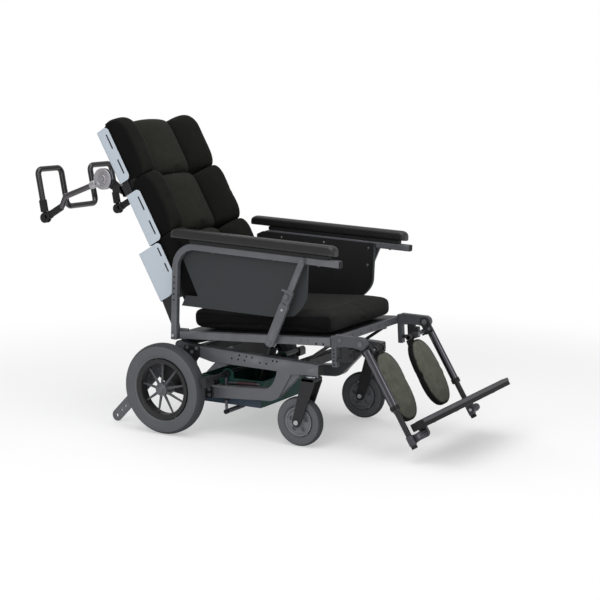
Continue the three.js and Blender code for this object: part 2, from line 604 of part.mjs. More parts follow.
// Open tray between the side frames, with the foot bracket of the tilt strut
function mechanismTray(group) {
  const half = trayHalf;
  const reach = frameInner - gap;
  const earBottom = frame.lowerBottom + (frame.lowerRearBottom - frame.lowerBottom) / 2;
  const pieces = [box(-half, half, tray.front, tray.rear, tray.bottom, tray.top)];
  for (const y of [frame.lowerTopY + tray.earInset, frame.lowerRear - tray.rearEarInset - tray.earLength]) {
    pieces.push(box(-reach, reach, y, y + tray.earLength, earBottom, earBottom + tray.earHeight));
  }
  const { wall } = tray;
  const [from, to] = [brake.y - tray.bearingHalf, brake.y + tray.bearingHalf];
  for (const [, hand] of sides) {
    pieces.push(box(hand * (half - wall), hand * half, from, to, tray.bottom, tray.bearingTop));
  }
  const cuts = [
    box(-half + wall, half - wall, tray.front + wall, tray.rear - wall, tray.bottom + wall, tray.top + overrun),
    pin(-half - overrun, half + overrun, brake.y, brake.z, brake.shaftRadius + running),
  ];
  const open = joined(pieces, cuts);
  const earFrom = tilt.eyeWidth / 2 + running;
  const added = [open];
  const ear = [
    [tilt.footY + tilt.earRadius, tray.bottom + wall / 2],
    ...arcPoints(tilt.footY, tilt.footZ, tilt.earRadius, 0, Math.PI, arcSteps),
    [tilt.footY - tilt.earRadius, tray.bottom + wall / 2],
  ];
  for (const side of [-1, 1]) added.push(slab(ear, side * earFrom, side * (earFrom + tilt.earThick)));
  added.push(pin(-earFrom - overrun, earFrom + overrun, tilt.footY, tilt.footZ, tilt.eyePin));
  addPart(group, 'mechanism_tray', finishes.tealPaint, added);
}

// Cross shaft, shoes in front of the tyres, drop rod and foot bar
function parkingBrake(group) {
  const shoeFrom = rearX - brake.shoeWidth / 2;
  const shoeTo = rearX + brake.shoeWidth / 2;
  const pieces = [pin(-shoeTo, shoeTo, brake.y, brake.z, brake.shaftRadius)];
  for (const [, hand] of sides) {
    const shoe = [
      ...arcPoints(brake.y, brake.z, brake.shoeRadius, 0, Math.PI, arcSteps),
      [brake.y - brake.shoeRadius, brake.z - brake.shoeReach],
      [brake.y, brake.z - brake.shoeReach - brake.shoeRadius / 2],
      [brake.y + brake.shoeRadius / 2, brake.z - brake.shoeReach],
    ];
    pieces.push(slab(shoe, hand * shoeFrom, hand * shoeTo));
  }
  const x = brake.rodGap - frameInner;
  const barEnd = x - brake.barBeyond;
  pieces.push(pin(x - brake.collarWidth / 2, x + brake.collarWidth / 2, brake.y, brake.z, brake.collarRadius));
  pieces.push(rod([x, brake.y, brake.z], [x, brake.y, brake.barZ], brake.rodRadius, tubeSides));
  pieces.push(pin(barEnd, barEnd + brake.barLength, brake.y, brake.barZ, brake.barRadius));
  addPart(group, 'parking_brake', finishes.blackPaint, pieces);
}

// Tilt strut: cylinder on the tray, rod up to the seat pan
function tiltStrut(group) {
  const foot = new THREE.Vector2(tilt.footY, tilt.footZ);
  const head = new THREE.Vector2(tilt.headY, tilt.headZ);
  const along = head.clone().sub(foot).normalize();
  const at = (distance) => [0, foot.x + along.x * distance, foot.y + along.y * distance];
  const half = tilt.eyeWidth / 2;
  const cylinder = [
    rod(at(tilt.earRadius + overrun), at(tilt.cylinderLength), tilt.cylinderRadius),
    pin(-half, half, foot.x, foot.y, tilt.eyeRadius),
    rod(at(tilt.eyeRadius / 2), at(tilt.earRadius + 2 * overrun), half),
  ];
  const cuts = [
    rod(at(tilt.rodDepth - overrun), at(tilt.cylinderLength + overrun), tilt.rodRadius + running),
    pin(-half - overrun, half + overrun, foot.x, foot.y, tilt.eyePin + running),
  ];
  addPart(group, 'tilt_cylinder', finishes.blackPaint, cylinder, cuts);
  const reach = foot.distanceTo(head);
  const rodPieces = [
    rod(at(tilt.rodDepth), at(reach - tilt.eyePin - tilt.eyePlay - overrun), tilt.rodRadius),
    pin(-half, half, head.x, head.y, tilt.eyeRadius + overrun),
  ];
  const eye = pin(-half - overrun, half + overrun, head.x, head.y, tilt.eyePin + tilt.eyePlay);
  addPart(group, 'tilt_rod', finishes.steel, rodPieces, [eye]);
}

// Seat rails, each with a lug that carries the back and the arm
function seatRail(group, name, hand) {
  const inner = seat.halfWidth;
  const outer = inner + seat.railWidth;
  const lugOuter = inner + seat.lugThick;
  const backPin = worldToSeat(back.y, back.z);
  const armPin = worldToSeat(arm.y, arm.z);
  const lug = [
    [seat.lugFront, seat.lugBottom + overrun], [seat.lugRear - overrun, seat.lugBottom],
    [seat.lugRear, seat.lugBottom + overrun], [seat.lugRear, seat.lugTop - overrun],
    [seat.lugRear - overrun, seat.lugTop], [seat.lugFront, seat.lugTop - overrun],
  ];
  const pieces = [
    box(hand * inner, hand * outer, seat.railFront, seat.railRear, seat.railBottom, seat.railTop),
    slab(lug, hand * inner, hand * lugOuter),
    pin(hand * (inner + overrun), hand * (caneInner - overrun), backPin.x, backPin.y, back.pinRadius),
    pin(hand * (lugOuter - overrun), hand * (armX + arm.radius + overrun), armPin.x, armPin.y, seat.pinRadius),
  ];
  const strutFoot = armToSeat(strut.footY, strut.footZ);
  const strutOuter = strutX + strut.thick / 2 + strut.wall + overrun;
  pieces.push(pin(hand * (outer - overrun), hand * strutOuter, strutFoot.x, strutFoot.y, strut.pinRadius));
  const railMiddle = (seat.railBottom + seat.railTop) / 2;
  const headEnd = hand * (outer + seat.boltHead);
  for (const y of railBoltY) {
    pieces.push(pin(hand * (outer - overrun), headEnd, y, railMiddle, seat.boltRadius, holeSides));
  }
  const cuts = railHoleY.map((y) => {
    const z = seat.railBottom + (seat.railTop - seat.railBottom) / 4;
    return pin(hand * (inner - overrun), hand * (outer + overrun), y, z, frame.holeRadius, holeSides);
  });
  addPart(group, `seat_rail_${name}`, finishes.greyPaint, pieces, cuts);
}

// A point of the arm's frame, or any world point, in the seat's frame
function worldToSeat(y, z) {
  return new THREE.Vector2(y - tilt.y, z - tilt.z).rotateAround(new THREE.Vector2(), seat.lean);
}

function armToSeat(y, z) {
  const world = new THREE.Vector2(y, z).rotateAround(new THREE.Vector2(), -arm.lean);
  return worldToSeat(arm.y + world.x, arm.z + world.y);
}

// Seat pan between the rails, with the tilt lugs, wedge plates and the head bracket of the strut
function seatPan(group) {
  const half = seat.halfWidth - gap;
  const top = cushion.bottom - gap;
  const pieces = [
    box(-half, half, seat.panFront, seat.panRear, top - seat.panThick, top),
    box(-half, half, seat.railFront, seat.railFront + seat.beamDepth, seat.railBottom, top),
    box(-half, half, seat.panRear, seat.panRear + seat.beamDepth, seat.railBottom, top),
  ];
  const cuts = [];
  const lugRadius = frame.pivotRound;
  const wedge = [
    ...arcPoints(0, 0, lugRadius, -2 * Math.PI / 3, 0, arcSteps), [lugRadius, top - seat.panThick],
    [seat.panRear, top - overrun], [-seat.wedgeLength, top - overrun], [-seat.wedgeLength, seat.railBottom],
    [-seat.wedgeLength / 2, seat.wedgeNeck], [seat.panRear, 0],
  ];
  const wedgeOuter = frameInner - seat.wedgeGap;
  const wedgeInner = wedgeOuter - seat.wedgeThick;
  const pinHole = tilt.pinRadius + running;
  for (const [, hand] of sides) {
    pieces.push(slab(wedge, hand * wedgeInner, hand * wedgeOuter));
    cuts.push(pin(hand * (wedgeInner - overrun), hand * (wedgeOuter + overrun), 0, 0, pinHole));
  }
  const head = worldToSeat(tilt.headY, tilt.headZ);
  const earFrom = tilt.eyeWidth / 2 + running;
  const ear = [
    [head.x - tilt.earRadius, top - overrun],
    ...arcPoints(head.x, head.y, tilt.earRadius, Math.PI, 2 * Math.PI, arcSteps),
    [head.x + tilt.earRadius, top - overrun],
  ];
  for (const side of [-1, 1]) pieces.push(slab(ear, side * earFrom, side * (earFrom + tilt.earThick)));
  pieces.push(pin(-earFrom - overrun, earFrom + overrun, head.x, head.y, tilt.eyePin));
  addPart(group, 'seat_pan', finishes.blackPaint, pieces, cuts);
}

// Seat cushion: crowned top, drawn-in sides and a rounded front edge
function seatCushion(group) {
  const { bottom, edge } = cushion;
  const full = cushion.top - bottom;
  const rings = easedShares(cushion.stations).map((share) => {
    const y = cushion.rear + (cushion.front - cushion.rear) * share;
    const fromFront = Math.max(y - cushion.front, endInset);
    const fromRear = Math.max(cushion.rear - y, endInset);
    const noseRise = eased(cushion.noseShare, roundEnd(fromFront, cushion.nose));
    const rise = Math.min(noseRise, eased(cushion.tailShare, roundEnd(fromRear, edge)));
    const drawnIn = edge * (1 - Math.min(roundEnd(fromFront, edge), roundEnd(fromRear, edge)));
    const half = seat.halfWidth - cushion.sideGap - drawnIn;
    return padRing(cushion.sides, half, bottom, bottom + full * rise, edge, cushion.crown * rise, cushion.side)
      .map(([x, z]) => [x, y, z]);
  });
  addPart(group, 'seat_cushion', finishes.vinyl, [skin(rings)]);
}

// Arm: bent tube, pad and side panel
function armFrame(group, name, hand) {
  const x = hand * armX;
  const top = arm.top + arm.radius;
  const blockHalf = armPad.blockWidth / 2;
  const pieces = [
    tube([[x, 0, arm.foot], [x, 0, arm.top], [x, arm.front, arm.top]], arm.radius, arm.bend, arm.bendSteps),
    box(x - blockHalf, x + blockHalf, armPad.blockFront, armPad.blockRear, top - overrun, armPad.bottom - gap),
  ];
  const pinX = strutX + strut.thick / 2 + overrun;
  pieces.push(pin(x, hand * pinX, strut.topY, strut.topZ, strut.pinRadius));
  const cuts = [pin(x - arm.radius - overrun, x + arm.radius + overrun, 0, 0, seat.pinRadius + running)];
  for (let i = 0; i < arm.holes; i++) {
    const z = arm.holeFirst + i * arm.holePitch;
    cuts.push(pin(x - arm.radius - overrun, x + arm.radius + overrun, 0, z, arm.holeRadius, holeSides));
  }
  addPart(group, `arm_tube_${name}`, finishes.greyPaint, pieces, cuts);

  const { bottom } = armPad;
  const rings = easedShares(armPad.stations).map((share) => {
    const y = armPad.rear + (armPad.front - armPad.rear) * share;
    const inset = Math.max(Math.min(y - armPad.front, armPad.rear - y), endInset);
    const rise = eased(armPad.noseShare, roundEnd(inset, armPad.nose));
    const half = armPad.width / 2 * eased(armPad.tipShare, roundEnd(inset, armPad.width / 2));
    const padTop = bottom + (armPad.top - bottom) * rise;
    return padRing(armPad.sides, half, bottom, padTop, armPad.edge, armPad.crown * rise, armPad.side)
      .map(([across, z]) => [x + across, y, z]);
  });
  addPart(group, `arm_pad_${name}`, finishes.black, [skin(rings)]);

  const panelOuter = armX - arm.radius - gap;
  const outline = new THREE.Shape();
  outline.moveTo(panel.front, panel.top);
  outline.lineTo(panel.front, panel.frontBottom);
  outline.quadraticCurveTo(panel.front, (panel.frontBottom + panel.bendZ) / 2, panel.bendY, panel.bendZ);
  outline.lineTo(panel.bottomFront, panel.bottomZ);
  outline.lineTo(panel.rear, panel.bottomRear);
  outline.lineTo(panel.notchLowY, panel.notchZ - overrun);
  outline.lineTo(panel.notchY, panel.notchZ);
  outline.lineTo(panel.notchTopY, panel.notchTop);
  outline.lineTo(panel.notchTopY, panel.top - arm.radius);
  outline.lineTo(panel.notchTopY - 2 * arm.radius, panel.top);
  const sheet = slab(outline, hand * (panelOuter - panel.thick), hand * panelOuter);
  addPart(group, `side_panel_${name}`, finishes.panel, [sheet]);
}

// Telescoping arm strut: lower sleeve on the seat rail, upper bar pinned below the arm tube
function armStrut(group, name, hand) {
  const foot = new THREE.Vector2(strut.footY, strut.footZ);
  const head = new THREE.Vector2(strut.topY, strut.topZ);
  const along = head.clone().sub(foot).normalize();
  const acrossWay = new THREE.Vector2(-along.y, along.x);
  const at = (distance, offset) => [foot.x + along.x * distance + acrossWay.x * offset,
    foot.y + along.y * distance + acrossWay.y * offset];
  const strip = (from, to, half, fromX, toX) => slab(
    [at(from, -half), at(from, half), at(to, half), at(to, -half)], hand * fromX, hand * toX);
  const inner = strutX - strut.thick / 2;
  const outer = strutX + strut.thick / 2;
  const half = strut.width / 2;
  const reach = foot.distanceTo(head);
  const upper = [
    strip(strut.depth, reach, half, inner, outer),
    pin(hand * inner, hand * outer, head.x, head.y, strut.eyeRadius),
  ];
  const eyeRadius = strut.pinRadius + strut.pinPlay;
  const eye = pin(hand * (inner - overrun), hand * (outer + overrun), head.x, head.y, eyeRadius);
  addPart(group, `arm_strut_upper_${name}`, finishes.greyPaint, upper, [eye]);

  const { play } = strut;
  const sleeveInner = inner - strut.wall;
  const sleeveOuter = outer + strut.wall;
  const sleeveHalf = half + strut.wall;
  const wideHalf = half + strut.wideWall;
  const [knobY, knobZ] = at(strut.knobAt, 0);
  const knobEnd = sleeveOuter + strut.knobHeight;
  const lower = [
    strip(0, strut.wideSleeve, wideHalf, sleeveInner, sleeveOuter),
    strip(strut.wideSleeve - overrun, strut.sleeve, sleeveHalf, sleeveInner, sleeveOuter),
    pin(hand * sleeveInner, hand * sleeveOuter, foot.x, foot.y, wideHalf),
    pin(hand * (outer + 2 * play), hand * knobEnd, knobY, knobZ, strut.knobRadius),
    strip(strut.leverAt, strut.sleeve, sleeveHalf + strut.leverLength, sleeveInner, sleeveOuter),
  ];
  const pinHole = strut.pinRadius + running;
  const cuts = [
    strip(strut.bore, strut.sleeve + overrun, half + play, inner - play, outer + play),
    pin(hand * (sleeveInner - overrun), hand * (sleeveOuter + overrun), foot.x, foot.y, pinHole),
  ];
  addPart(group, `arm_strut_lower_${name}`, finishes.greyPaint, lower, cuts);
}

// Legrest hanger at the front of each seat rail
function legHanger(group, name, hand) {
  const inner = hand * seat.halfWidth;
  const outer = hand * (seat.halfWidth + hanger.width);
  const rearY = seat.railFront - gap;
  const round = (hanger.blockTop - hanger.blockBottom) / 2;
  const strapRear = hanger.postFront + overrun;
  const block = [
    [strapRear, hanger.blockBottom], [strapRear, hanger.blockTop],
    [leg.y, leg.z + round], ...arcPoints(leg.y, leg.z, round, Math.PI / 2, 3 * Math.PI / 2, arcSteps),
    [hanger.noseFront, hanger.blockBottom],
  ];
  const pieces = [
    box(inner, outer, rearY, hanger.postFront, hanger.postBottom, hanger.postTop),
    slab(block, inner, outer),
    box(inner, outer, hanger.neckRear, hanger.neckFront, hanger.strapBottom, hanger.blockBottom + overrun),
    box(inner, outer, strapRear, hanger.neckRear - overrun, hanger.strapBottom, hanger.strapTop),
    box(inner, outer, hanger.neckFront + overrun, hanger.noseFront, hanger.noseBottom, hanger.noseTop),
  ];
  const pinEnd = hand * (legHeadX - leg.headThick / 2 - overrun);
  pieces.push(pin(inner + hand * overrun, pinEnd, leg.y, leg.z, hanger.pinRadius));
  addPart(group, `legrest_hanger_${name}`, finishes.blackPaint, pieces);
}

// Legrest tube: head plate on the pivot, outer sleeve, and the footrest tube inside it
function legTube(group, name, hand) {
  const x = hand * legX;
  const plateInner = hand * (legHeadX - leg.headThick / 2);
  const plateOuter = hand * (legHeadX + leg.headThick / 2);
  const outline = [
    ...arcPoints(0, 0, leg.headRadius, 0, Math.PI, arcSteps), [-leg.headRadius, leg.sleeveTop - leg.headRadius],
    [leg.headRadius, leg.sleeveTop - leg.headRadius],
  ];
  const pieces = [
    slab(outline, plateInner, plateOuter),
    rod([x, 0, leg.sleeveTop], [x, 0, leg.sleeveEnd], leg.sleeveRadius),
  ];
  const cuts = [
    rod([x, 0, leg.bore], [x, 0, leg.sleeveEnd - overrun], leg.tubeRadius + leg.play),
    pin(plateInner - hand * overrun, plateOuter + hand * overrun, 0, 0, hanger.pinRadius + running),
  ];
  addPart(group, `legrest_tube_${name}`, finishes.steel, pieces, cuts);

  const web = [
    [0, clamp.collarTop], [clamp.y, clamp.collarTop],
    ...arcPoints(clamp.y, clamp.z, clamp.radius, Math.PI / 2, 3 * Math.PI / 2, arcSteps),
    [0, clamp.collarBottom],
  ];
  const webEnd = legX - clamp.collarRadius / 2;
  const foot = [
    rod([x, 0, leg.tubeTop], [x, 0, leg.tubeEnd], leg.tubeRadius),
    rod([x, 0, clamp.collarTop], [x, 0, clamp.collarBottom], clamp.collarRadius),
    slab(web, hand * clampOuter, hand * webEnd),
    pin(hand * clampInner, hand * (clampOuter + overrun), clamp.y, clamp.z, clamp.radius),
    pin(hand * (clampInner - clamp.pinReach), hand * (clampInner + overrun), clamp.y, clamp.z, clamp.pinRadius),
  ];
  addPart(group, `footrest_tube_${name}`, finishes.blackPaint, foot);
}

// Footplate with its two hinge lugs
function footPlate(group) {
  const { cornerRadius, front, notchY } = footplate;
  const halfWidth = legX + footplate.beyondLeg;
  const notchX = legX - clamp.collarRadius - footplate.notchGap;
  const outline = new THREE.Shape();
  const cornerY = front + cornerRadius;
  const cornerX = halfWidth - cornerRadius;
  outline.moveTo(-notchX, footplate.rear);
  outline.lineTo(-notchX, notchY);
  outline.lineTo(-halfWidth, notchY);
  outline.lineTo(-halfWidth, cornerY);
  const threeQuarters = 3 * Math.PI / 2;
  outline.absarc(-cornerX, cornerY, cornerRadius, Math.PI, threeQuarters, false);
  outline.absarc(cornerX, cornerY, cornerRadius, threeQuarters, 2 * Math.PI, false);
  outline.lineTo(halfWidth, notchY);
  outline.lineTo(notchX, notchY);
  outline.lineTo(notchX, footplate.rear);
  const bottom = footplate.top - footplate.thick;
  const pieces = [raised(outline, bottom, footplate.thick)];
  const cuts = [];
  const outer = clampInner - gap;
  const lug = [
    [clamp.y + clamp.radius, bottom + overrun], [clamp.y - clamp.radius, bottom + overrun],
    ...arcPoints(clamp.y, clamp.z, clamp.radius, Math.PI, 2 * Math.PI, arcSteps),
  ];
  for (const [, hand] of sides) {
    pieces.push(slab(lug, hand * (outer - footplate.lugThick), hand * outer));
    cuts.push(pin(hand * (outer - footplate.lugThick - overrun), hand * (outer + overrun), clamp.y, clamp.z,
      clamp.pinRadius + running));
  }
  addPart(group, 'footplate', finishes.blackPaint, pieces, cuts);
}

// Calf pad bracket: cross rod from the legrest tube, with the pad's hinge eye
function calfBracket(group, name, hand) {
  const eyeFrom = calf.x - calf.eyeWidth / 2;
  const plateOuter = legX - leg.sleeveRadius - gap;
  const rodEnd = plateOuter - calf.neckThick / 2;
  const rodStart = eyeFrom - calf.eyeWidth;
  const pieces = [pin(hand * rodStart, hand * rodEnd, calf.pivotY, calf.pivotZ, calf.rodRadius)];
  for (const x of [rodStart, calf.x + calf.eyeWidth / 2 + gap]) {
    pieces.push(pin(hand * x, hand * (x + calf.eyeWidth / 2), calf.pivotY, calf.pivotZ, calf.eyeRadius));
  }
  const [lugLow, lugHigh] = [calf.pivotZ - calf.eyeRadius, calf.pivotZ + calf.eyeRadius];
  const lugRear = calf.pivotY + calf.eyeRadius;
  const plateFrom = hand * (plateOuter - calf.neckThick);
  pieces.push(box(plateFrom, hand * plateOuter, -leg.headRadius, lugRear, lugLow, lugHigh));
  addPart(group, `calf_bracket_${name}`, finishes.blackPaint, pieces);
}

// Calf pad: crowned face and round ends, on a back plate with the hinge eye
function calfPad(group, name, hand) {
  const pad = leaning(calf.pivotY, calf.pivotZ, -calf.slope);
  const x = hand * calf.x;
  const rings = easedShares(calf.stations).map((share) => {
    const z = -calf.drop - calf.length * share;
    const inset = Math.max(Math.min(share, 1 - share) * calf.length, endInset);
    const half = calf.width / 2 * eased(calf.endWidthShare, roundEnd(inset, calf.round));
    const thick = calf.thick * eased(calf.endThickShare, roundEnd(inset, calf.edge));
    return padRing(calf.sides, half, -thick / 2, thick / 2, calf.edge, calf.crown, 0)
      .map(([across, out]) => [x + across, calf.faceY + calf.thick / 2 - out, z]);
  });
  const rearFace = calf.faceY + calf.thick;
  const eyeHalf = calf.eyeWidth / 2 - gap;
  const pieces = [
    skin(rings),
    box(x - calf.neckWidth / 2, x + calf.neckWidth / 2, rearFace - calf.neckThick, rearFace + calf.neckThick,
      -calf.neckLength, -calf.eyeRadius),
    pin(x - eyeHalf, x + eyeHalf, 0, 0, calf.eyeRadius),
    box(x - eyeHalf, x + eyeHalf, 0, rearFace + calf.neckThick, -calf.eyeRadius - calf.drop, 0),
  ];
  const cuts = [pin(x - calf.eyeWidth, x + calf.eyeWidth, 0, 0, calf.rodRadius + running)];
  addPart(pad, `calf_pad_${name}`, finishes.calf, pieces, cuts);
  group.add(pad);
}

// Back canes with their foot bracket and the plate that carries the push handle's hub
function backCane(group, name, hand) {
  const inner = hand * caneInner;
  const outer = hand * caneOuter;
  const outline = [
    [cane.front, cane.top], [cane.front, cane.bottom + overrun], [cane.rear, cane.bottom], [0, cane.heelZ],
    [cane.heelY, cane.heelZ], [cane.footRearLow, cane.footLow], [cane.footRear, cane.bottom],
    [cane.rear, cane.bottom + cane.footRear], [cane.rear, cane.top],
  ];
  const plateInner = hand * (hubPlateOuter - cane.hubPlateThick);
  const plateOuter = hand * hubPlateOuter;
  const hubPlate = [
    [cane.stemFront, cane.stemBottom], [cane.stemFront, cane.stemTop], [cane.stemRear, cane.stemTop],
    ...arcPoints(cane.hubY, cane.hubZ, cane.hubPlateRadius, Math.PI, -Math.PI / 4, 2 * arcSteps),
    [cane.stemRear, cane.stemBottom],
  ];
  const pieces = [
    slab(outline, inner, outer),
    box(inner, outer, cane.rear - overrun, cane.stemRear, cane.stemBottom, cane.stemTop),
    box(plateInner, outer, cane.stemFront, cane.stemRear, cane.stemBottom, cane.stemTop),
    slab(hubPlate, plateInner, plateOuter),
    pin(plateInner, hand * (hubOuter + overrun), cane.hubY, cane.hubZ, handle.hubPin),
  ];
  const cuts = [pin(inner - hand * overrun, outer + hand * overrun, 0, 0, back.pinRadius + running)];
  addPart(group, `back_cane_${name}`, finishes.blackPaint, pieces, cuts);
}

// Back shell: a U in plan, with two slots near the front edge of each wing
function backShell(group, name, size) {
  const half = seat.halfWidth;
  const wingOutline = (reach) => {
    const r = shell.wingCorner;
    return [
      [reach, size.top], ...arcPoints(size.front + r, size.top - r, r, Math.PI / 2, Math.PI, shell.cornerSteps),
      ...(size.cutZ > 0
        ? [[size.front, size.bottom + size.cutZ], [size.front + size.cutY, size.bottom]]
        : arcPoints(size.front + r, size.bottom + r, r, Math.PI, 3 * Math.PI / 2, shell.cornerSteps)),
      [reach, size.bottom],
    ];
  };
  const turn = size.corner;
  const section = new THREE.Shape();
  section.moveTo(-half, size.front - overrun);
  section.lineTo(half, size.front - overrun);
  section.lineTo(half, size.rear - turn);
  section.absarc(half - turn, size.rear - turn, turn, 0, Math.PI / 2, false);
  section.absarc(-half + turn, size.rear - turn, turn, Math.PI / 2, Math.PI, false);
  const hollowHalf = half - shell.thick;
  const hollow = new THREE.Shape();
  const hollowTurn = turn - shell.thick;
  hollow.moveTo(-hollowHalf, size.front - 2 * overrun);
  hollow.lineTo(hollowHalf, size.front - 2 * overrun);
  hollow.lineTo(hollowHalf, size.rear - turn);
  hollow.absarc(half - turn, size.rear - turn, hollowTurn, 0, Math.PI / 2, false);
  hollow.absarc(-half + turn, size.rear - turn, hollowTurn, Math.PI / 2, Math.PI, false);
  const height = size.top - size.bottom;
  const core = solidOf(raised(hollow, size.bottom - overrun, height + 2 * overrun));
  const body = solidOf(raised(section, size.bottom, height)).subtract(core);
  const wing = solidOf(slab(wingOutline(size.rear + overrun), -half - overrun, half + overrun));
  let solid = body.intersect(wing);
  const slotY = size.front + shell.slotInset;
  const slotsFrom = size.bottom + size.cutZ;
  const slotsHeight = height - size.cutZ;
  const padY = (cane.front + cane.rear) / 2;
  for (const [, hand] of sides) {
    for (const [from, to] of shellSlotShares) {
      const slot = box(hand * (hollowHalf - overrun), hand * (half + overrun), slotY, slotY + shell.slotWidth,
        slotsFrom + from * slotsHeight, slotsFrom + to * slotsHeight);
      solid = solid.subtract(solidOf(slot));
    }
    for (const share of shellPadShares) {
      const z = size.bottom + share * height;
      const padEnd = hand * (hollowHalf + shell.thick / 2);
      solid = solid.add(solidOf(pin(hand * (caneOuter + gap), padEnd, padY, z, shell.padRadius)));
    }
  }
  addPart(group, name, finishes.shell, [geometryOf(solid)]);
}

// Back cushion: centre panel between two bolsters, pinched in where two rows meet
function backCushion(group, name, row) {
  const { seamX, seamY, crownY, wingY, backY } = lobe;
  const halfWidth = seat.halfWidth - lobe.sideGap;
  const crestX = halfWidth - lobe.crestInset;
  const wingX = caneInner - lobe.caneGap;
  const backX = wingX - lobe.backDraw;
  const front = [];
  for (let i = 0; i < lobe.centrePoints; i++) {
    const share = -1 + 2 * i / (lobe.centrePoints - 1);
    front.push([share * seamX, seamY + (crownY - seamY) * Math.sqrt(1 - lobe.crownShare * share ** 2)]);
  }
  const bolster = [];
  for (let i = 1; i <= lobe.bolsterPoints; i++) {
    const share = i / lobe.bolsterPoints;
    const x = seamX + (halfWidth - seamX) * share;
    const crestShare = (crestX - seamX) / (halfWidth - seamX);
    const rise = share < crestShare ? Math.sin(Math.PI / 2 * share / crestShare) : 1;
    const fall = share > crestShare ? ((share - crestShare) / (1 - crestShare)) ** 2 : 0;
    bolster.push([x, seamY + (row.crest - seamY) * rise + (row.edge - row.crest) * fall]);
  }
  const profile = [...bolster.map(([x, y]) => [-x, y]).reverse(), ...front, ...bolster];
  const rings = easedShares(lobe.stations).map((share) => {
    const z = row.bottom + (row.top - row.bottom) * share;
    const pinchAt = share > 1 / 2 ? row.topPinchShare : lobe.pinchShare;
    const inset = Math.max(Math.min(share, 1 - share) * (row.top - row.bottom), endInset);
    const full = 1 - pinchAt * (1 - roundEnd(inset, lobe.round * (1 + pinchAt)));
    const ring = profile.map(([x, y]) => [x, wingY + (y - wingY) * full, z]);
    return [...ring, [halfWidth, wingY, z], [wingX, wingY, z], [backX, backY, z], [-backX, backY, z],
      [-wingX, wingY, z], [-halfWidth, wingY, z]];
  });
  addPart(group, name, finishes.vinyl, [skin(rings)]);
}

// Push handle arms, knuckles and the W-shaped bar
function pushHandle(group) {
  const across = handle.cheekInner + handle.cheekThick;
  for (const [name, hand] of sides) {
    const x = hand * handleX;
    const dir = new THREE.Vector2(handle.ballY - cane.hubY, handle.ballZ - cane.hubZ);
    const length = dir.length();
    dir.normalize();
    const at = (distance) => [x, cane.hubY + dir.x * distance, cane.hubZ + dir.y * distance];
    const armEnd = length - handle.neck;
    const [, bendY, bendZ] = at(handle.bendAt);
    const corners = [
      at(handle.hubRadius / 2), [x, bendY, bendZ + handle.bendRise], at(handle.kneeAt), at(armEnd),
    ];
    const pieces = [
      pin(hand * hubInner, hand * hubOuter, cane.hubY, cane.hubZ, handle.hubRadius, 2 * roundSides),
      tube(corners, handle.tubeRadius, handle.bend, handle.bendSteps),
    ];
    const cut = pin(hand * (hubInner - overrun), hand * (hubOuter + overrun), cane.hubY, cane.hubZ,
      handle.hubPin + running);
    addPart(group, `handle_arm_${name}`, finishes.steel, pieces, [cut]);

    const knuckle = [rod(at(armEnd + gap), at(length - handle.cheekRadius + overrun), handle.sleeveRadius)];
    const webFront = handle.ballY - handle.neck + 2 * gap;
    const webHalf = handle.sleeveRadius / 2;
    for (const side of [-1, 1]) {
      const from = x + side * handle.cheekInner;
      const to = from + side * handle.cheekThick;
      knuckle.push(pin(from, to, handle.ballY, handle.ballZ, handle.cheekRadius));
      knuckle.push(box(from, to, webFront, handle.ballY, handle.ballZ - webHalf, handle.ballZ + webHalf));
    }
    knuckle.push(pin(x - across + overrun, x + across - overrun, handle.ballY, handle.ballZ, handle.pinRadius));
    addPart(group, `handle_knuckle_${name}`, finishes.black, knuckle);
  }

  const grip = leaning(handle.ballY, handle.ballZ, bar.lean - back.lean);
  const corners = [
    [-handleX, 0, bar.foot], [-handleX, 0, bar.top], [-bar.innerX, 0, bar.top], [-bar.innerX, 0, bar.low],
    [bar.innerX, 0, bar.low], [bar.innerX, 0, bar.top], [handleX, 0, bar.top], [handleX, 0, bar.foot],
  ];
  const pieces = [tube(corners, bar.radius, bar.bend, bar.bendSteps)];
  const cuts = [];
  const half = bar.eyeWidth / 2;
  for (const [, hand] of sides) {
    const x = hand * handleX;
    pieces.push(pin(x - half, x + half, 0, 0, bar.eyeRadius));
    pieces.push(box(x - half, x + half, -bar.eyeRadius / 2, bar.eyeRadius / 2, 0, bar.foot + overrun));
    cuts.push(pin(x - half - overrun, x + half + overrun, 0, 0, handle.pinRadius + running));
  }
  addPart(grip, 'push_bar', finishes.black, pieces, cuts);
  group.add(grip);
}

// Assembly
for (const [name, hand] of sides) {
  sideFrame(chair, name, hand);
  rearCorner(chair, name, hand);
  rearWheel(chair, name, hand);
  casterWheel(chair, name, hand);
}
crossTubes(chair);
mechanismTray(chair);
parkingBrake(chair);
tiltStrut(chair);

const seatGroup = leaning(tilt.y, tilt.z, seat.lean);
seatPan(seatGroup);
seatCushion(seatGroup);
const armGroup = leaning(arm.y, arm.z, arm.lean);
for (const [name, hand] of sides) {
  seatRail(seatGroup, name, hand);
  legHanger(seatGroup, name, hand);
  armFrame(armGroup, name, hand);
  armStrut(armGroup, name, hand);
}

const legGroup = leaning(leg.y, leg.z, leg.slope);
for (const [name, hand] of sides) {
  legTube(legGroup, name, hand);
  calfBracket(legGroup, name, hand);
  calfPad(legGroup, name, hand);
}
footPlate(legGroup);
seatGroup.add(legGroup);

const backGroup = leaning(back.y, back.z, back.lean);
for (const [name, hand] of sides) backCane(backGroup, name, hand);
backShell(backGroup, 'back_shell_upper', upperShell);
backShell(backGroup, 'back_shell_middle', middleShell);
backShell(backGroup, 'back_shell_lower', lowerShell);
backCushion(backGroup, 'back_cushion_upper', upperLobe);
backCushion(backGroup, 'back_cushion_middle', middleLobe);
backCushion(backGroup, 'back_cushion_lower', lowerLobe);
pushHandle(backGroup);
chair.add(seatGroup, armGroup, backGroup);

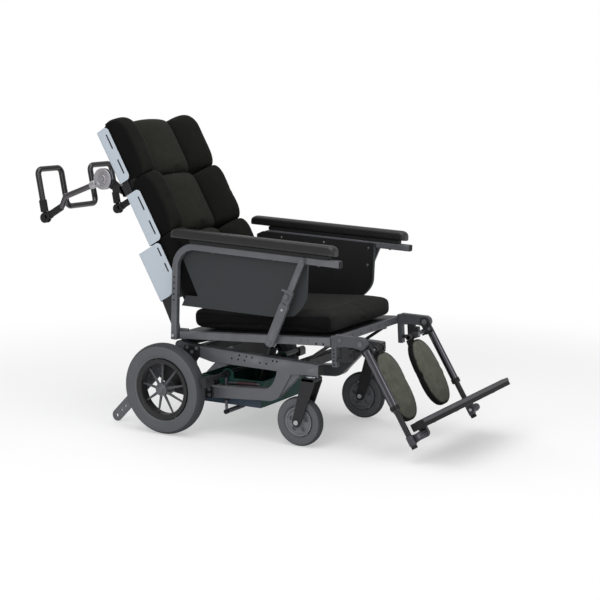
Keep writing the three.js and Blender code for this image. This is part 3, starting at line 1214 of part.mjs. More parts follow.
// The origin is at the middle of the chair's footprint, on the floor
const bounds = new THREE.Box3().setFromObject(chair, true);
chair.position.set(0, -(bounds.min.y + bounds.max.y) / 2, -bounds.min.z);
const wheelchair = new THREE.Group();
wheelchair.add(chair);

export default wheelchair;
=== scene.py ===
import bpy
import numpy as np
from mathutils import Matrix, Vector


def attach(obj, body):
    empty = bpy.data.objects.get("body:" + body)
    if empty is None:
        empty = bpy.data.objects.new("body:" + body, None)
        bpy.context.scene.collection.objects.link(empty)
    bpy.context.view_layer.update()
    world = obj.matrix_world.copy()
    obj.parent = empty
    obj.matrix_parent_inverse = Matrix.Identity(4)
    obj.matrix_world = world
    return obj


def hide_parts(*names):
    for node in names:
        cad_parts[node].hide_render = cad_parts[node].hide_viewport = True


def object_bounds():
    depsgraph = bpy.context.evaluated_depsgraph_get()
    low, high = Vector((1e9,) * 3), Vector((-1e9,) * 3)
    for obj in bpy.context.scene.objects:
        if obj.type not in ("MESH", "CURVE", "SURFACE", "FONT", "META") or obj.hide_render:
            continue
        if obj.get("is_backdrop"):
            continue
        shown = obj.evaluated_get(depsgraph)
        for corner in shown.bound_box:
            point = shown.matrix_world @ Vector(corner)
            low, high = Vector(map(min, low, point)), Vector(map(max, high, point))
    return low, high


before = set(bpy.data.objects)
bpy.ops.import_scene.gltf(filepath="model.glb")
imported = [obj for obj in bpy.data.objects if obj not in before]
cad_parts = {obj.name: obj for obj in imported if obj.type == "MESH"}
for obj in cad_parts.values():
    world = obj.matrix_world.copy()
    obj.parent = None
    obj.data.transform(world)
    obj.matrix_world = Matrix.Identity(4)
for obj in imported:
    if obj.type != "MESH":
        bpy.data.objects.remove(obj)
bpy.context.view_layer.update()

sides = (("right", -1), ("left", 1))

# Camera, floor and light
# The chair stands on plain white paper, seen from its right and a little from the front, from about the height
# of the back. Soft light comes from above and from the camera's side.
focal_length_pixels = 1349.03
picture_pixels = 600
sensor_width = 36.0
camera_place = (-3.9885, -2.5103, 1.1840)
yaw, pitch, roll = np.radians((-59.38, 8.99, -0.30))
backwards = np.array([np.sin(yaw) * np.cos(pitch), -np.cos(yaw) * np.cos(pitch), np.sin(pitch)])
level_right = np.array([np.cos(yaw), np.sin(yaw), 0.0])
level_up = np.cross(backwards, level_right)
camera_right = np.cos(roll) * level_right + np.sin(roll) * level_up
camera_up = np.cos(roll) * level_up - np.sin(roll) * level_right
camera = bpy.data.objects.new("camera", bpy.data.cameras.new("camera"))
camera.data.sensor_width = sensor_width
camera.data.lens = focal_length_pixels / picture_pixels * sensor_width
camera_turn = Matrix(np.column_stack([camera_right, camera_up, backwards]).tolist()).to_4x4()
camera.matrix_world = Matrix.Translation(camera_place) @ camera_turn
bpy.context.scene.collection.objects.link(camera)
bpy.context.scene.camera = camera
bpy.context.scene.view_settings.view_transform = "Standard"


def add_node(tree, kind, settings=None, **inputs):
    """A shader node with its settings, and each input, named or numbered, set to a value or linked."""
    node = tree.nodes.new("ShaderNode" + kind)
    for key, value in (settings or {}).items():
        setattr(node, key, value)
    for key, value in inputs.items():
        entry = node.inputs[int(key[1:])] if key.startswith("_") else node.inputs[key.replace("_", " ")]
        if isinstance(value, bpy.types.NodeSocket):
            tree.links.new(value, entry)
        else:
            entry.default_value = value
    return node


def screen(red, green, blue):
    """A colour given as 0 to 255 screen values, in the linear values that a shader takes."""
    value = np.array([red, green, blue]) / 255
    return (*np.where(value <= 0.04045, value / 12.92, ((value + 0.055) / 1.055) ** 2.4), 1.0)


room_light = 0.5
world = bpy.data.worlds.new("studio")
world.use_nodes = True
path = add_node(world.node_tree, "LightPath")
seen = add_node(world.node_tree, "Math", {"operation": "MAXIMUM"}, _0=path.outputs["Is Camera Ray"],
                _1=path.outputs["Is Transmission Ray"])
level = add_node(world.node_tree, "MapRange", None, Value=seen.outputs[0], To_Min=room_light, To_Max=1.0)
backdrop = world.node_tree.nodes["Background"]
backdrop.inputs["Color"].default_value = (1, 1, 1, 1)
world.node_tree.links.new(level.outputs[0], backdrop.inputs["Strength"])
bpy.context.scene.world = world

floor_half, paper_near, paper_far, paper_glow = 30.0, 1.3, 2.6, 0.4
floor_mesh = bpy.data.meshes.new("floor")
corners = floor_half * np.array([[-1, -1, 0], [1, -1, 0], [1, 1, 0], [-1, 1, 0]])
floor_mesh.from_pydata(corners.tolist(), [], [(0, 1, 2, 3)])
floor = bpy.data.objects.new("floor", floor_mesh)
bpy.context.scene.collection.objects.link(floor)
paper = bpy.data.materials.new("white_paper")
paper.use_nodes = True
tree = paper.node_tree
shader = tree.nodes["Principled BSDF"]
shader.inputs["Base Color"].default_value = screen(250, 250, 250)
shader.inputs["Roughness"].default_value = 0.9
shader.inputs["Specular IOR Level"].default_value = 0.0
spot = add_node(tree, "TexCoord")
distance = add_node(tree, "VectorMath", {"operation": "LENGTH"}, _0=spot.outputs["Object"])
fade = add_node(tree, "MapRange", {"interpolation_type": "SMOOTHSTEP"}, Value=distance.outputs["Value"],
                From_Min=paper_near, From_Max=paper_far, To_Min=paper_glow)
path = add_node(tree, "LightPath")
seen = add_node(tree, "Math", {"operation": "MULTIPLY"}, _0=fade.outputs[0], _1=path.outputs["Is Camera Ray"])
white = add_node(tree, "Emission", None, Color=(1, 1, 1, 1), Strength=1.0)
mixed = add_node(tree, "MixShader", None, _0=seen.outputs[0], _1=shader.outputs[0], _2=white.outputs[0])
tree.links.new(mixed.outputs[0], tree.nodes["Material Output"].inputs["Surface"])
floor_mesh.materials.append(paper)
floor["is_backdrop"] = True

# Each lamp's place, width in metres and power in watts
lamps = {
    "top_lamp": ((-0.6, -0.4, 3.4), 3.0, 50.0),
    "side_lamp": ((-3.2, -0.6, 2.2), 2.0, 32.0),
    "front_lamp": ((-0.6, -3.6, 1.6), 2.0, 19.0),
    "rear_lamp": ((1.6, 2.8, 2.2), 2.0, 18.0),
}
chair_middle = Vector((0, 0, 0.5))
for name, (lamp_place, width, power) in lamps.items():
    lamp = bpy.data.objects.new(name, bpy.data.lights.new(name, "AREA"))
    lamp.data.size, lamp.data.energy = width, power
    facing = (Vector(lamp_place) - chair_middle).to_track_quat("Z", "Y").to_matrix().to_4x4()
    lamp.matrix_world = Matrix.Translation(lamp_place) @ facing
    bpy.context.scene.collection.objects.link(lamp)

# Rear wheels
# Grey puncture-proof tyres, 12.5 by 2.25 inches, moulded round one-piece plastic rims with nine thin spokes.
# Each turns on a stub axle behind the end of the base frame, held by a capped hub.
tyre_radius, tyre_width, rim_radius, rim_half, rim_opening = 158.75, 57.0, 106.0, 22.0, 89.0
axle_x, axle_y = 312.5, 423.0
tyre_grey, tread_shade_grey, ring_grey = screen(88, 90, 93), screen(62, 63, 66), screen(112, 114, 116)
rim_grey, rim_black = screen(66, 67, 71), screen(26, 26, 28)


def leaned(y, z, degrees=0.0):
    """Places points in millimetres of a frame that leans back, in the room: for a point (x, b, c) and a lean a,
    y = y0 + b cos a + c sin a and z = z0 - b sin a + c cos a."""
    lean = np.radians(degrees)

    def place(points):
        x, b, c = np.moveaxis(np.asarray(points, float) / 1000, -1, 0)
        room_y, room_z = y + b * np.cos(lean) + c * np.sin(lean), z - b * np.sin(lean) + c * np.cos(lean)
        return np.stack([x, room_y, room_z], -1)

    return place


base_place = leaned(-0.2152705, 0.0)


def outward(points, faces):
    """Turns all faces over when the sum of a . (b x c) over fan triangles, six times the volume, is negative."""
    fans = np.array([(f[0], f[i], f[i + 1]) for f in faces for i in range(1, len(f) - 1)])
    a, b, c = points[fans[:, 0]], points[fans[:, 1]], points[fans[:, 2]]
    volume = np.einsum("ij,ij->", a - points.mean(0), np.cross(b - points.mean(0), c - points.mean(0)))
    return (points, faces) if volume > 0 else (points, [tuple(reversed(f)) for f in faces])


def skin(rings, loop=False):
    """A closed skin over a row of closed rings, an array of rows, sides and places: a quad joins each pair of
    neighbours on two rings, and a flat face fills each end, or the last ring joins the first."""
    rows, count = rings.shape[:2]
    index = np.arange(rows * count).reshape(rows, count)
    if loop:
        index = np.vstack([index, index[:1]])
    beside = np.roll(index, -1, 1)
    quads = np.stack([index[:-1], beside[:-1], beside[1:], index[1:]], -1).reshape(-1, 4)
    faces = list(map(tuple, quads.tolist()))
    if not loop:
        faces += [tuple(index[0][::-1].tolist()), tuple(index[-1].tolist())]
    return outward(rings.reshape(-1, 3), faces)


def joined(*shapes):
    """Several shapes, each of points and faces, as one."""
    starts = np.cumsum([0] + [len(points) for points, _ in shapes])
    faces = [tuple(i + int(start) for i in face) for start, (_, some) in zip(starts, shapes) for face in some]
    return np.vstack([points for points, _ in shapes]), faces


def unit(vectors):
    """Vectors of length one."""
    vectors = np.asarray(vectors, float)
    return vectors / np.maximum(np.linalg.norm(vectors, axis=-1, keepdims=True), 1e-12)


def turned(profile, centre, axis=(1, 0, 0), count=64, loop=False):
    """A profile of (along, radius) carried round an axis: a point is centre + along * axis + radius * spoke,
    with spoke = cos t * side + sin t * up."""
    axis = unit(axis)
    side = unit(np.cross(axis, (0, 0, 1) if abs(axis[2]) < 0.9 else (0, 1, 0)))
    up = np.cross(axis, side)
    t = 2 * np.pi * np.arange(count)[:, None] / count
    spoke = np.cos(t) * side + np.sin(t) * up
    along, radius = np.asarray(profile, float).T[:, :, None, None]
    return skin(np.asarray(centre, float) + along * axis + radius * spoke, loop)


def rounded(corners, radius, count=5, closed=True):
    """Rounds the corners of an outline or path, of two or three coordinates. Each arc touches both of its edges
    at reach = r / tan(half angle), with its centre at r / sin(half angle) on the bisector, and runs from one
    touching point to the other by (sin((1 - t) w) p + sin(t w) q) / sin w."""
    corners = np.asarray(corners, float)
    back, ahead = np.roll(corners, 1, 0) - corners, np.roll(corners, -1, 0) - corners
    back_length, ahead_length = np.linalg.norm(back, axis=1), np.linalg.norm(ahead, axis=1)
    back, ahead = unit(back), unit(ahead)
    half = np.clip(np.arccos(np.clip((back * ahead).sum(1), -1, 1)) / 2, 0.01, np.pi / 2 - 0.005)
    reach = np.minimum(np.asarray(radius, float) / np.tan(half), 0.48 * np.minimum(back_length, ahead_length))
    reach = np.maximum(reach, 1e-4)
    turn = np.pi - 2 * half
    centre = corners + unit(back + ahead) * (reach / np.cos(half))[:, None]
    first, last = corners + back * reach[:, None] - centre, corners + ahead * reach[:, None] - centre
    t = np.linspace(0, 1, count)[None, :, None]
    w = turn[:, None, None]
    arcs = centre[:, None] + (np.sin((1 - t) * w) * first[:, None] + np.sin(t * w) * last[:, None]) / np.sin(w)
    arcs = arcs.reshape(-1, corners.shape[1]) if closed else np.vstack(
        [corners[:1], arcs[1:-1].reshape(-1, corners.shape[1]), corners[-1:]])
    gaps = np.linalg.norm(arcs - np.roll(arcs, 1, 0), axis=1)
    return arcs[gaps > 1e-2] if closed else arcs[np.r_[True, gaps[1:] > 1e-2]]


rim_turn = np.linspace(0, np.pi / 2, 4)


def rod(start, end, radius, ease=0.8, count=32):
    """A round bar from one point to another, whose rims are quarter circles of radius e: at a depth
    e (1 - cos t) the radius is r - e (1 - sin t)."""
    start, end = np.asarray(start, float), np.asarray(end, float)
    rim = np.column_stack([ease * (1 - np.cos(rim_turn)), radius - ease * (1 - np.sin(rim_turn))])
    rim = np.vstack([[0, max(radius - 2 * ease, radius / 4)], rim])
    far = np.column_stack([np.linalg.norm(end - start) - rim[::-1, 0], rim[::-1, 1]])
    return turned(np.vstack([rim, far]), start, end - start, count)


def scene_object(name, points, faces):
    """An object of a mesh with these points and faces."""
    mesh = bpy.data.meshes.new(name)
    mesh.from_pydata(np.asarray(points).tolist(), [], faces)
    thing = bpy.data.objects.new(name, mesh)
    bpy.context.scene.collection.objects.link(thing)
    return thing


def piece(name, parts, place, body, slot, *nodes, smooth=34):
    """An object of (shape, material) parts, set in the room, that rides on a body and stands for CAD nodes."""
    points, faces = joined(*(shape for shape, _ in parts))
    thing = scene_object(name, place(points), faces)
    materials = list(dict.fromkeys(material for _, material in parts))
    for material in materials:
        thing.data.materials.append(material)
    slots = np.repeat([materials.index(m) for _, m in parts], [len(shape[1]) for shape, _ in parts])
    thing.data.polygons.foreach_set("material_index", slots.astype(np.int32))
    thing.data.shade_smooth()
    thing.data.set_sharp_from_angle(angle=np.radians(smooth))
    thing.modifiers.new("flat_faces", "WEIGHTED_NORMAL").keep_sharp = True
    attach(thing, body)
    if nodes:
        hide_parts(*nodes)
    return thing


def shader_group(name, inputs, outputs):
    """An empty shader node group with its sockets, its input node and its output node."""
    group = bpy.data.node_groups.new(name, "ShaderNodeTree")
    for title, kind in inputs:
        group.interface.new_socket(title, in_out="INPUT", socket_type="NodeSocket" + kind)
    for title in outputs:
        group.interface.new_socket(title, in_out="OUTPUT", socket_type="NodeSocketFloat")
    return group, group.nodes.new("NodeGroupInput"), group.nodes.new("NodeGroupOutput")


# Slow mottling, a fine grain, and lighter edges where the surface turns outwards, broken up by noise: partly
# rubbed wear, partly painted highlight
surface_group, given, made = shader_group(
    "surface_variation", (("Position", "Vector"), ("Grain Scale", "Float"), ("Mottle Scale", "Float")),
    ("Grain", "Mottle", "Wear"))
grain = add_node(surface_group, "TexNoise", None, Vector=given.outputs[0], Scale=given.outputs[1], Detail=3.0)
mottle = add_node(surface_group, "TexNoise", None, Vector=given.outputs[0], Scale=given.outputs[2], Detail=4.0)
edge = add_node(surface_group, "NewGeometry")
# Edges that turn outwards get a lighter colour: partly wear, partly painted highlight
edge = add_node(surface_group, "MapRange", None, Value=edge.outputs["Pointiness"], From_Min=0.52, From_Max=0.6)
lit_and_rubbed = add_node(surface_group, "MapRange", None, Value=mottle.outputs[0], From_Min=0.35, From_Max=0.6)
lit_and_rubbed = add_node(surface_group, "Math", {"operation": "MULTIPLY"}, _0=edge.outputs[0], _1=lit_and_rubbed.outputs[0])
for number, output in enumerate((grain, mottle, lit_and_rubbed)):
    surface_group.links.new(output.outputs[0], made.inputs[number])


def blend_colours(tree, factor, first, second):
    """The output of a colour mix whose factor is a socket."""
    mix = add_node(tree, "Mix", {"data_type": "RGBA"}, _0=factor)
    for entry, colour in ((mix.inputs[6], first), (mix.inputs[7], second)):
        if isinstance(colour, bpy.types.NodeSocket):
            tree.links.new(colour, entry)
        else:
            entry.default_value = colour
    return mix.outputs[2]


def shade(colour, share):
    """A colour made lighter or darker by a share."""
    return (*(np.clip(np.array(colour[:3]) * (1 + share), 0, 1)), 1.0)


def finish(name, colour, roughness, metallic=0.0, lit_worn_edge=None, edge_wear_and_light=0.4, mottle=0.12, grain=700.0, bump=0.12,
           coat=0.0, mottle_scale=14.0, specular=0.5):
    """A hard surface: its colour and gloss vary slowly, its edges are lighter, partly as rubbed wear and partly
    as painted highlight, and its skin has a fine grain.
    """
    material = bpy.data.materials.new(name)
    material.use_nodes = True
    tree = material.node_tree
    shader = tree.nodes["Principled BSDF"]
    spot = add_node(tree, "TexCoord")
    surface = add_node(tree, "Group", {"node_tree": surface_group}, Position=spot.outputs["Object"],
                       Grain_Scale=grain, Mottle_Scale=mottle_scale)
    base = blend_colours(tree, surface.outputs["Mottle"], shade(colour, -mottle), shade(colour, mottle))
    # The lighter colour on the edges is partly wear and partly painted highlight
    lit_and_rubbed = add_node(tree, "Math", {"operation": "MULTIPLY"}, _0=surface.outputs["Wear"], _1=edge_wear_and_light)
    base = blend_colours(tree, lit_and_rubbed.outputs[0], base, lit_worn_edge or shade(colour, 0.9))
    gloss = add_node(tree, "MapRange", None, Value=surface.outputs["Mottle"],
                     To_Min=max(roughness - 0.08, 0.03), To_Max=min(roughness + 0.08, 1.0))
    height = add_node(tree, "Bump", None, Strength=bump, Distance=0.0004, Height=surface.outputs["Grain"])
    tree.links.new(base, shader.inputs["Base Color"])
    tree.links.new(gloss.outputs[0], shader.inputs["Roughness"])
    tree.links.new(height.outputs[0], shader.inputs["Normal"])
    shader.inputs["Metallic"].default_value = metallic
    shader.inputs["Coat Weight"].default_value = coat
    shader.inputs["Specular IOR Level"].default_value = specular
    return material


rubber = finish("grey_rubber", tyre_grey, 0.78, edge_wear_and_light=0.25, grain=420.0, bump=0.35, mottle=0.1, specular=0.3)
# The tread's darker grey is painted shade on the tread
shaded_tread_rubber = finish("shaded_tread_rubber", tread_shade_grey, 0.82, edge_wear_and_light=0.2, grain=420.0, bump=0.4, mottle=0.12,
                      specular=0.25)
ring_rubber = finish("ring_rubber", ring_grey, 0.7, edge_wear_and_light=0.2, grain=420.0, bump=0.25, mottle=0.1, specular=0.3)
# The spokes' lighter edges are painted highlight
rim_plastic = finish("rim_plastic", rim_grey, 0.45, grain=500.0, bump=0.2, mottle=0.1,
                     lit_worn_edge=screen(120, 121, 125))
rim_dark = finish("rim_dark", rim_black, 0.6, grain=500.0, bump=0.2, mottle=0.1)
hub_grey = finish("hub_grey", screen(96, 97, 101), 0.42, metallic=0.3, bump=0.1)
steel = finish("bright_steel", screen(176, 178, 182), 0.26, metallic=0.95, edge_wear_and_light=0.1, bump=0.06)
zinc = finish("dull_zinc", screen(104, 105, 109), 0.45, metallic=0.5, edge_wear_and_light=0.3, bump=0.1)


def tyre(radius, width, seat, grooves, ribs, count):
    """A tyre's skin: a superellipse between its seat and its tread, w (cos t)^p by h (sin t)^p, with round
    grooves sunk in the tread and low ribs raised round both walls, each a bell curve of its own width."""
    t = 2 * np.pi * np.arange(count) / count
    lift = 0.8
    along = (width / 2 - lift) * np.sign(np.cos(t)) * np.abs(np.cos(t)) ** 0.72
    middle, half = (radius + seat) / 2, (radius - seat) / 2
    out = middle + half * np.sign(np.sin(t)) * np.abs(np.sin(t)) ** 0.72
    for groove in grooves:
        out -= np.where(np.sin(t) > 0.5, 1.8 * np.exp(-((along - groove) / 0.9) ** 2), 0)
    for rib, rib_width in ribs:
        along += lift * np.sign(along) * np.exp(-((out - rib) / rib_width) ** 2) * (np.abs(np.cos(t)) > 0.3)
    return np.column_stack([along, out])


spoke_count, first_spoke, spoke_start, spoke_end, spoke_steps = 9, 0.12, 20.0, 91.0, 8
rim_section = rounded([(-rim_half, rim_radius), (rim_half, rim_radius), (rim_half, 99), (20, 96.5),
                       (18.5, 90.5), (15, rim_opening), (-15, rim_opening), (-18.5, 90.5), (-20, 96.5),
                       (-rim_half, 99)], 0.9, 4)
hub_profile = [(-30, 3), (-30, 19), (-29, 21), (-27, 23), (22, 23), (25, 22), (26, 20.5), (26, 17.5),
               (28, 16.5), (29, 15.5), (30, 13.5), (33, 12.6), (34, 11.5), (34, 7), (32.5, 6.2), (32.5, 2)]


def swept(path, section, side, ease=0.8, scale=None):
    """A section of (a, b) carried along a path. A ring is place + a * side + b * (side x tangent), times the
    scale of its station, and both ends are drawn in by quarter circles of radius e."""
    path = np.asarray(path, float)
    steps = unit(np.diff(path, axis=0))
    tangent = unit(np.vstack([steps[:1], steps[:-1] + steps[1:], steps[-1:]]))
    scale = np.ones(len(path)) if scale is None else np.asarray(scale, float)
    size = np.abs(section).max()
    rim, drawn = ease * (1 - np.cos(rim_turn))[:, None], 1 - ease * (1 - np.sin(rim_turn)) / size
    path = np.vstack([path[0] + rim * tangent[0], path[1:-1], path[-1] - rim[::-1] * tangent[-1]])
    scale = np.concatenate([scale[0] * drawn, scale[1:-1], scale[-1] * drawn[::-1]])
    first, last = np.repeat(tangent[:1], len(rim), 0), np.repeat(tangent[-1:], len(rim), 0)
    tangent = np.vstack([first, tangent[1:-1], last])
    side = unit(np.broadcast_to(np.asarray(side, float), tangent.shape))
    across = np.cross(side, tangent)
    a, b = (np.asarray(section, float).T[:, None, :, None]) * scale[None, :, None, None]
    return skin(path[:, None] + a * side[:, None] + b * across[:, None])


def circle(radius, count=24, squash=1.0):
    """Points of a circle, or of an ellipse when squashed."""
    t = 2 * np.pi * np.arange(count) / count
    return np.column_stack([radius * np.cos(t), squash * radius * np.sin(t)])


def banded(thing, centre, ring, tread):
    """Gives a tyre's faces two more colours by their distance from its axle: a lighter ring beside the rim, and
    a darker tread, which is painted shade."""
    for rubber_band in (ring_rubber, shaded_tread_rubber):
        thing.data.materials.append(rubber_band)
    middles = np.empty(3 * len(thing.data.polygons))
    thing.data.polygons.foreach_get("center", middles)
    out = 1000 * np.linalg.norm((middles.reshape(-1, 3) - base_place(centre))[:, 1:], axis=1)
    thing.data.polygons.foreach_set("material_index", ((out < ring) + 2 * (out > tread)).astype(np.int32))


ring_edge, tread_edge = 112.0, 149.0
tyre_grooves = (-15, -5, 5, 15)
tyre_ribs = ((ring_edge, 1.6), (121, 0.9), (146, 1.2))
for name, hand in sides:
    centre = np.array([hand * axle_x, axle_y, tyre_radius])
    body = "rear_wheel_" + name
    outline = tyre(tyre_radius, tyre_width, rim_radius + 0.3, tyre_grooves, tyre_ribs, 200)
    tyre_skin = piece("rear_tyre_skin_" + name, [(turned(outline, centre, count=112, loop=True), rubber)],
                      base_place, body, "tyre", "rear_tyre_" + name, smooth=50)
    banded(tyre_skin, centre, ring_edge, tread_edge)
    parts = [(turned(rim_section, centre, count=96, loop=True), rim_dark),
             (turned(hub_profile, centre, (hand, 0, 0), 48), hub_grey)]
    for turn in 2 * np.pi * np.arange(spoke_count) / spoke_count + first_spoke:
        out = np.array([0, np.cos(turn), np.sin(turn)])
        ring = np.array([0, -np.sin(turn), np.cos(turn)])
        reach = np.linspace(spoke_start, spoke_end, spoke_steps)
        dish = hand * (15 - 11 * ((reach - spoke_start) / (spoke_end - spoke_start)) ** 0.8)
        spoke_path = centre + reach[:, None] * out + dish[:, None] * (1, 0, 0)
        spoke = swept(spoke_path, circle(5.4, 12, 0.8), ring, 0.5, np.linspace(1, 0.62, spoke_steps))
        parts.append((spoke, rim_plastic))
    piece("rear_rim_shell_" + name, parts, base_place, body, "rim_plastic", "rear_rim_" + name)

# Casters
# Small grey rubber wheels on light grey five-pocket hubs, in bent steel forks with black paint. Each fork
# swivels on a stem that runs in the front end of the base frame, and its axle bolt has a bright round head.
caster_radius, caster_width, caster_bore = 84.0, 38.0, 50.3
caster_x, caster_trail_y, caster_pivot_y = 224.0, -66.0, -110.0
black_paint = finish("black_paint", screen(24, 24, 27), 0.42, lit_worn_edge=screen(90, 91, 95), bump=0.2, specular=0.4)


def read_points(mesh):
    """A mesh's points as an array."""
    points = np.empty(3 * len(mesh.vertices), np.float32)
    mesh.vertices.foreach_get("co", points)
    return points.reshape(-1, 3).astype(float)


def cut(shape, *tools):
    """A shape less the tools, by an exact boolean."""
    thing, tool = scene_object("scratch", *shape), scene_object("scratch", *joined(*tools))
    modifier = thing.modifiers.new("cut", "BOOLEAN")
    modifier.operation, modifier.solver, modifier.object = "DIFFERENCE", "EXACT", tool
    mesh = bpy.data.meshes.new_from_object(thing.evaluated_get(bpy.context.evaluated_depsgraph_get()))
    points, faces = read_points(mesh), [tuple(polygon.vertices) for polygon in mesh.polygons]
    for scratch in (thing, tool):
        bpy.data.objects.remove(scratch)
    return points, faces


def slab(outline, low, high, ease=0.8, axis=0):
    """A flat outline carried along an axis. Its rims are quarter circles: at a depth e (1 - cos t) from a face
    the outline is drawn in by e (1 - sin t) along the mitre (n + m) / (1 + n . m) of its edges' normals."""
    outline = np.asarray(outline, float)
    outline = outline[np.linalg.norm(outline - np.roll(outline, 1, 0), axis=1) > 1e-3]
    area = np.sum(outline[:, 0] * np.roll(outline[:, 1], -1) - np.roll(outline[:, 0], -1) * outline[:, 1])
    outline = outline if area > 0 else outline[::-1]
    edges = unit(np.roll(outline, -1, 0) - outline)
    normal = np.column_stack([-edges[:, 1], edges[:, 0]])
    before = np.roll(normal, 1, 0)
    mitre = (normal + before) / np.maximum(1 + (normal * before).sum(1), 0.3)[:, None]
    inset = np.r_[1.6 * ease, ease * (1 - np.sin(rim_turn))]
    depth = np.r_[0, ease * (1 - np.cos(rim_turn))]
    low, high = sorted((low, high))
    level = np.r_[low + depth, (high - depth)[::-1]]
    inset = np.r_[inset, inset[::-1]]
    flat = outline[None] + inset[:, None, None] * mitre[None]
    columns = [flat[..., 0], flat[..., 1]]
    columns.insert(axis, np.broadcast_to(level[:, None], flat.shape[:2]))
    return skin(np.stack(columns, -1))


def block(x, y, z, corner=1.5, ease=0.8):
    """A box between pairs of x, y and z, with round corners."""
    return slab(rounded([(y[0], z[0]), (y[1], z[0]), (y[1], z[1]), (y[0], z[1])], corner, 4), *x, ease)


def bolt_head(centre, axis, radius, height, count=6):
    """A hexagon head on its washer: two short bars on one axis."""
    centre, axis = np.asarray(centre, float), unit(axis)
    washer = rod(centre, centre + axis * height * 0.3, radius * 1.25, 0.2, 24)
    return joined(washer, rod(centre + axis * height * 0.2, centre + axis * height, radius, 0.5, count))


hub_face, hub_web, hub_ring, hub_boss, hub_bore = 15.0, 9.5, 41.0, 16.0, 6.6
pocket_count, first_pocket, pocket_reach = 5, 0.3, 30.0
caster_hub_grey = finish("caster_hub_grey", screen(106, 108, 112), 0.5, grain=500.0, bump=0.2)
half_hub = [(hub_face, 50), (hub_face, hub_ring + 4), (hub_web, hub_ring), (hub_web, hub_boss + 3),
            (hub_face, hub_boss), (hub_face, hub_bore)]
hub_section = rounded([(-along, out) for along, out in half_hub[::-1]] + half_hub, 1.0, 4)
for name, hand in sides:
    x = hand * caster_x
    centre = np.array([x, caster_trail_y, caster_radius])
    outline = tyre(caster_radius, caster_width, caster_bore, (-6, 6), ((58, 1.2), (74, 1.0)), 140)
    body = "caster_wheel_" + name
    tyre_skin = piece("caster_tyre_skin_" + name, [(turned(outline, centre, count=96, loop=True), rubber)],
                      base_place, body, "tyre", "caster_tyre_" + name, smooth=50)
    banded(tyre_skin, centre, 53, 78)
    pockets = []
    for turn in 2 * np.pi * np.arange(pocket_count) / pocket_count + first_pocket:
        spot = centre + pocket_reach * np.array([0, np.cos(turn), np.sin(turn)])
        pockets += [rod(spot + (face, 0, 0), spot + (face / 6, 0, 0), 8.5, 0.5, 28) for face in (-20, 20)]
    hub = cut(turned(hub_section, centre, count=72, loop=True), *pockets)
    piece("caster_hub_core_" + name, [(hub, caster_hub_grey)], base_place, body, "rim_plastic",
          "caster_hub_" + name)
    leg = rounded([(-134, 238), (-134, 222), (-83, 84), (-75, 67), (-57, 67), (-49, 84), (-86, 225),
                   (-86, 238)], [3, 5, 12, 14, 14, 12, 5, 3], 6)
    parts = [(slab(leg, x + side * 23, x + side * 29, 1.2), black_paint) for side in (-1, 1)]
    parts.append((block((x - 29, x + 29), (-134, -86), (225, 238), 4, 2), black_paint))
    parts.append((rod((x, caster_pivot_y, 234), (x, caster_pivot_y, 243.3), 22, 1.0, 40), steel))
    parts.append((rod((x, caster_pivot_y, 238), (x, caster_pivot_y, 274), 8), steel))
    parts.append((rod(centre - (30, 0, 0), centre + (30, 0, 0), 5.9), steel))
    for side in (-1, 1):
        parts.append((rod(centre + (side * 28.5, 0, 0), centre + (side * 30.3, 0, 0), 11, 0.3), black_paint))
        parts.append((rod(centre + (side * 30, 0, 0), centre + (side * 33, 0, 0), 8.6, 1.4), steel))
    piece("caster_fork_legs_" + name, parts, base_place, "caster_" + name, "black_paint", "caster_fork_" + name)

# Base side frames
# Welded box-section steel with grey satin paint: a long upper beam that rises to the tilt pivot, and a lower
# rail that bends up into it at the front. Both have rows of bolt holes, and dark plugs close the open ends.
grey_paint = finish("grey_paint", screen(92, 93, 98), 0.42, metallic=0.25, lit_worn_edge=screen(150, 151, 156),
                    bump=0.16, mottle=0.08)
black_plastic = finish("black_plastic", screen(21, 21, 22), 0.6, grain=600.0, bump=0.25, specular=0.35)
brown_plug = finish("dark_plug", screen(48, 38, 36), 0.6, bump=0.2)
frame_front, frame_bottom, frame_top = -145.0, 245.0, 284.0
frame_inner, frame_outer = 205.0, 243.0
upper_end_y, upper_end_z = 366.0, 306.0
tilt_y, tilt_z, tilt_boss = 412.0, 300.0, 16.0


def curve(start, pull, end, count=9):
    """A quadratic curve: (1 - t)^2 start + 2 t (1 - t) pull + t^2 end."""
    t = np.linspace(0, 1, count)[:, None]
    return (1 - t) ** 2 * np.array(start) + 2 * t * (1 - t) * np.array(pull) + t ** 2 * np.array(end)


def arc(y, z, radius, start, end, count=12):
    """Points of a circle's arc, in degrees."""
    t = np.radians(np.linspace(start, end, count))
    return np.column_stack([y + radius * np.cos(t), z + radius * np.sin(t)])


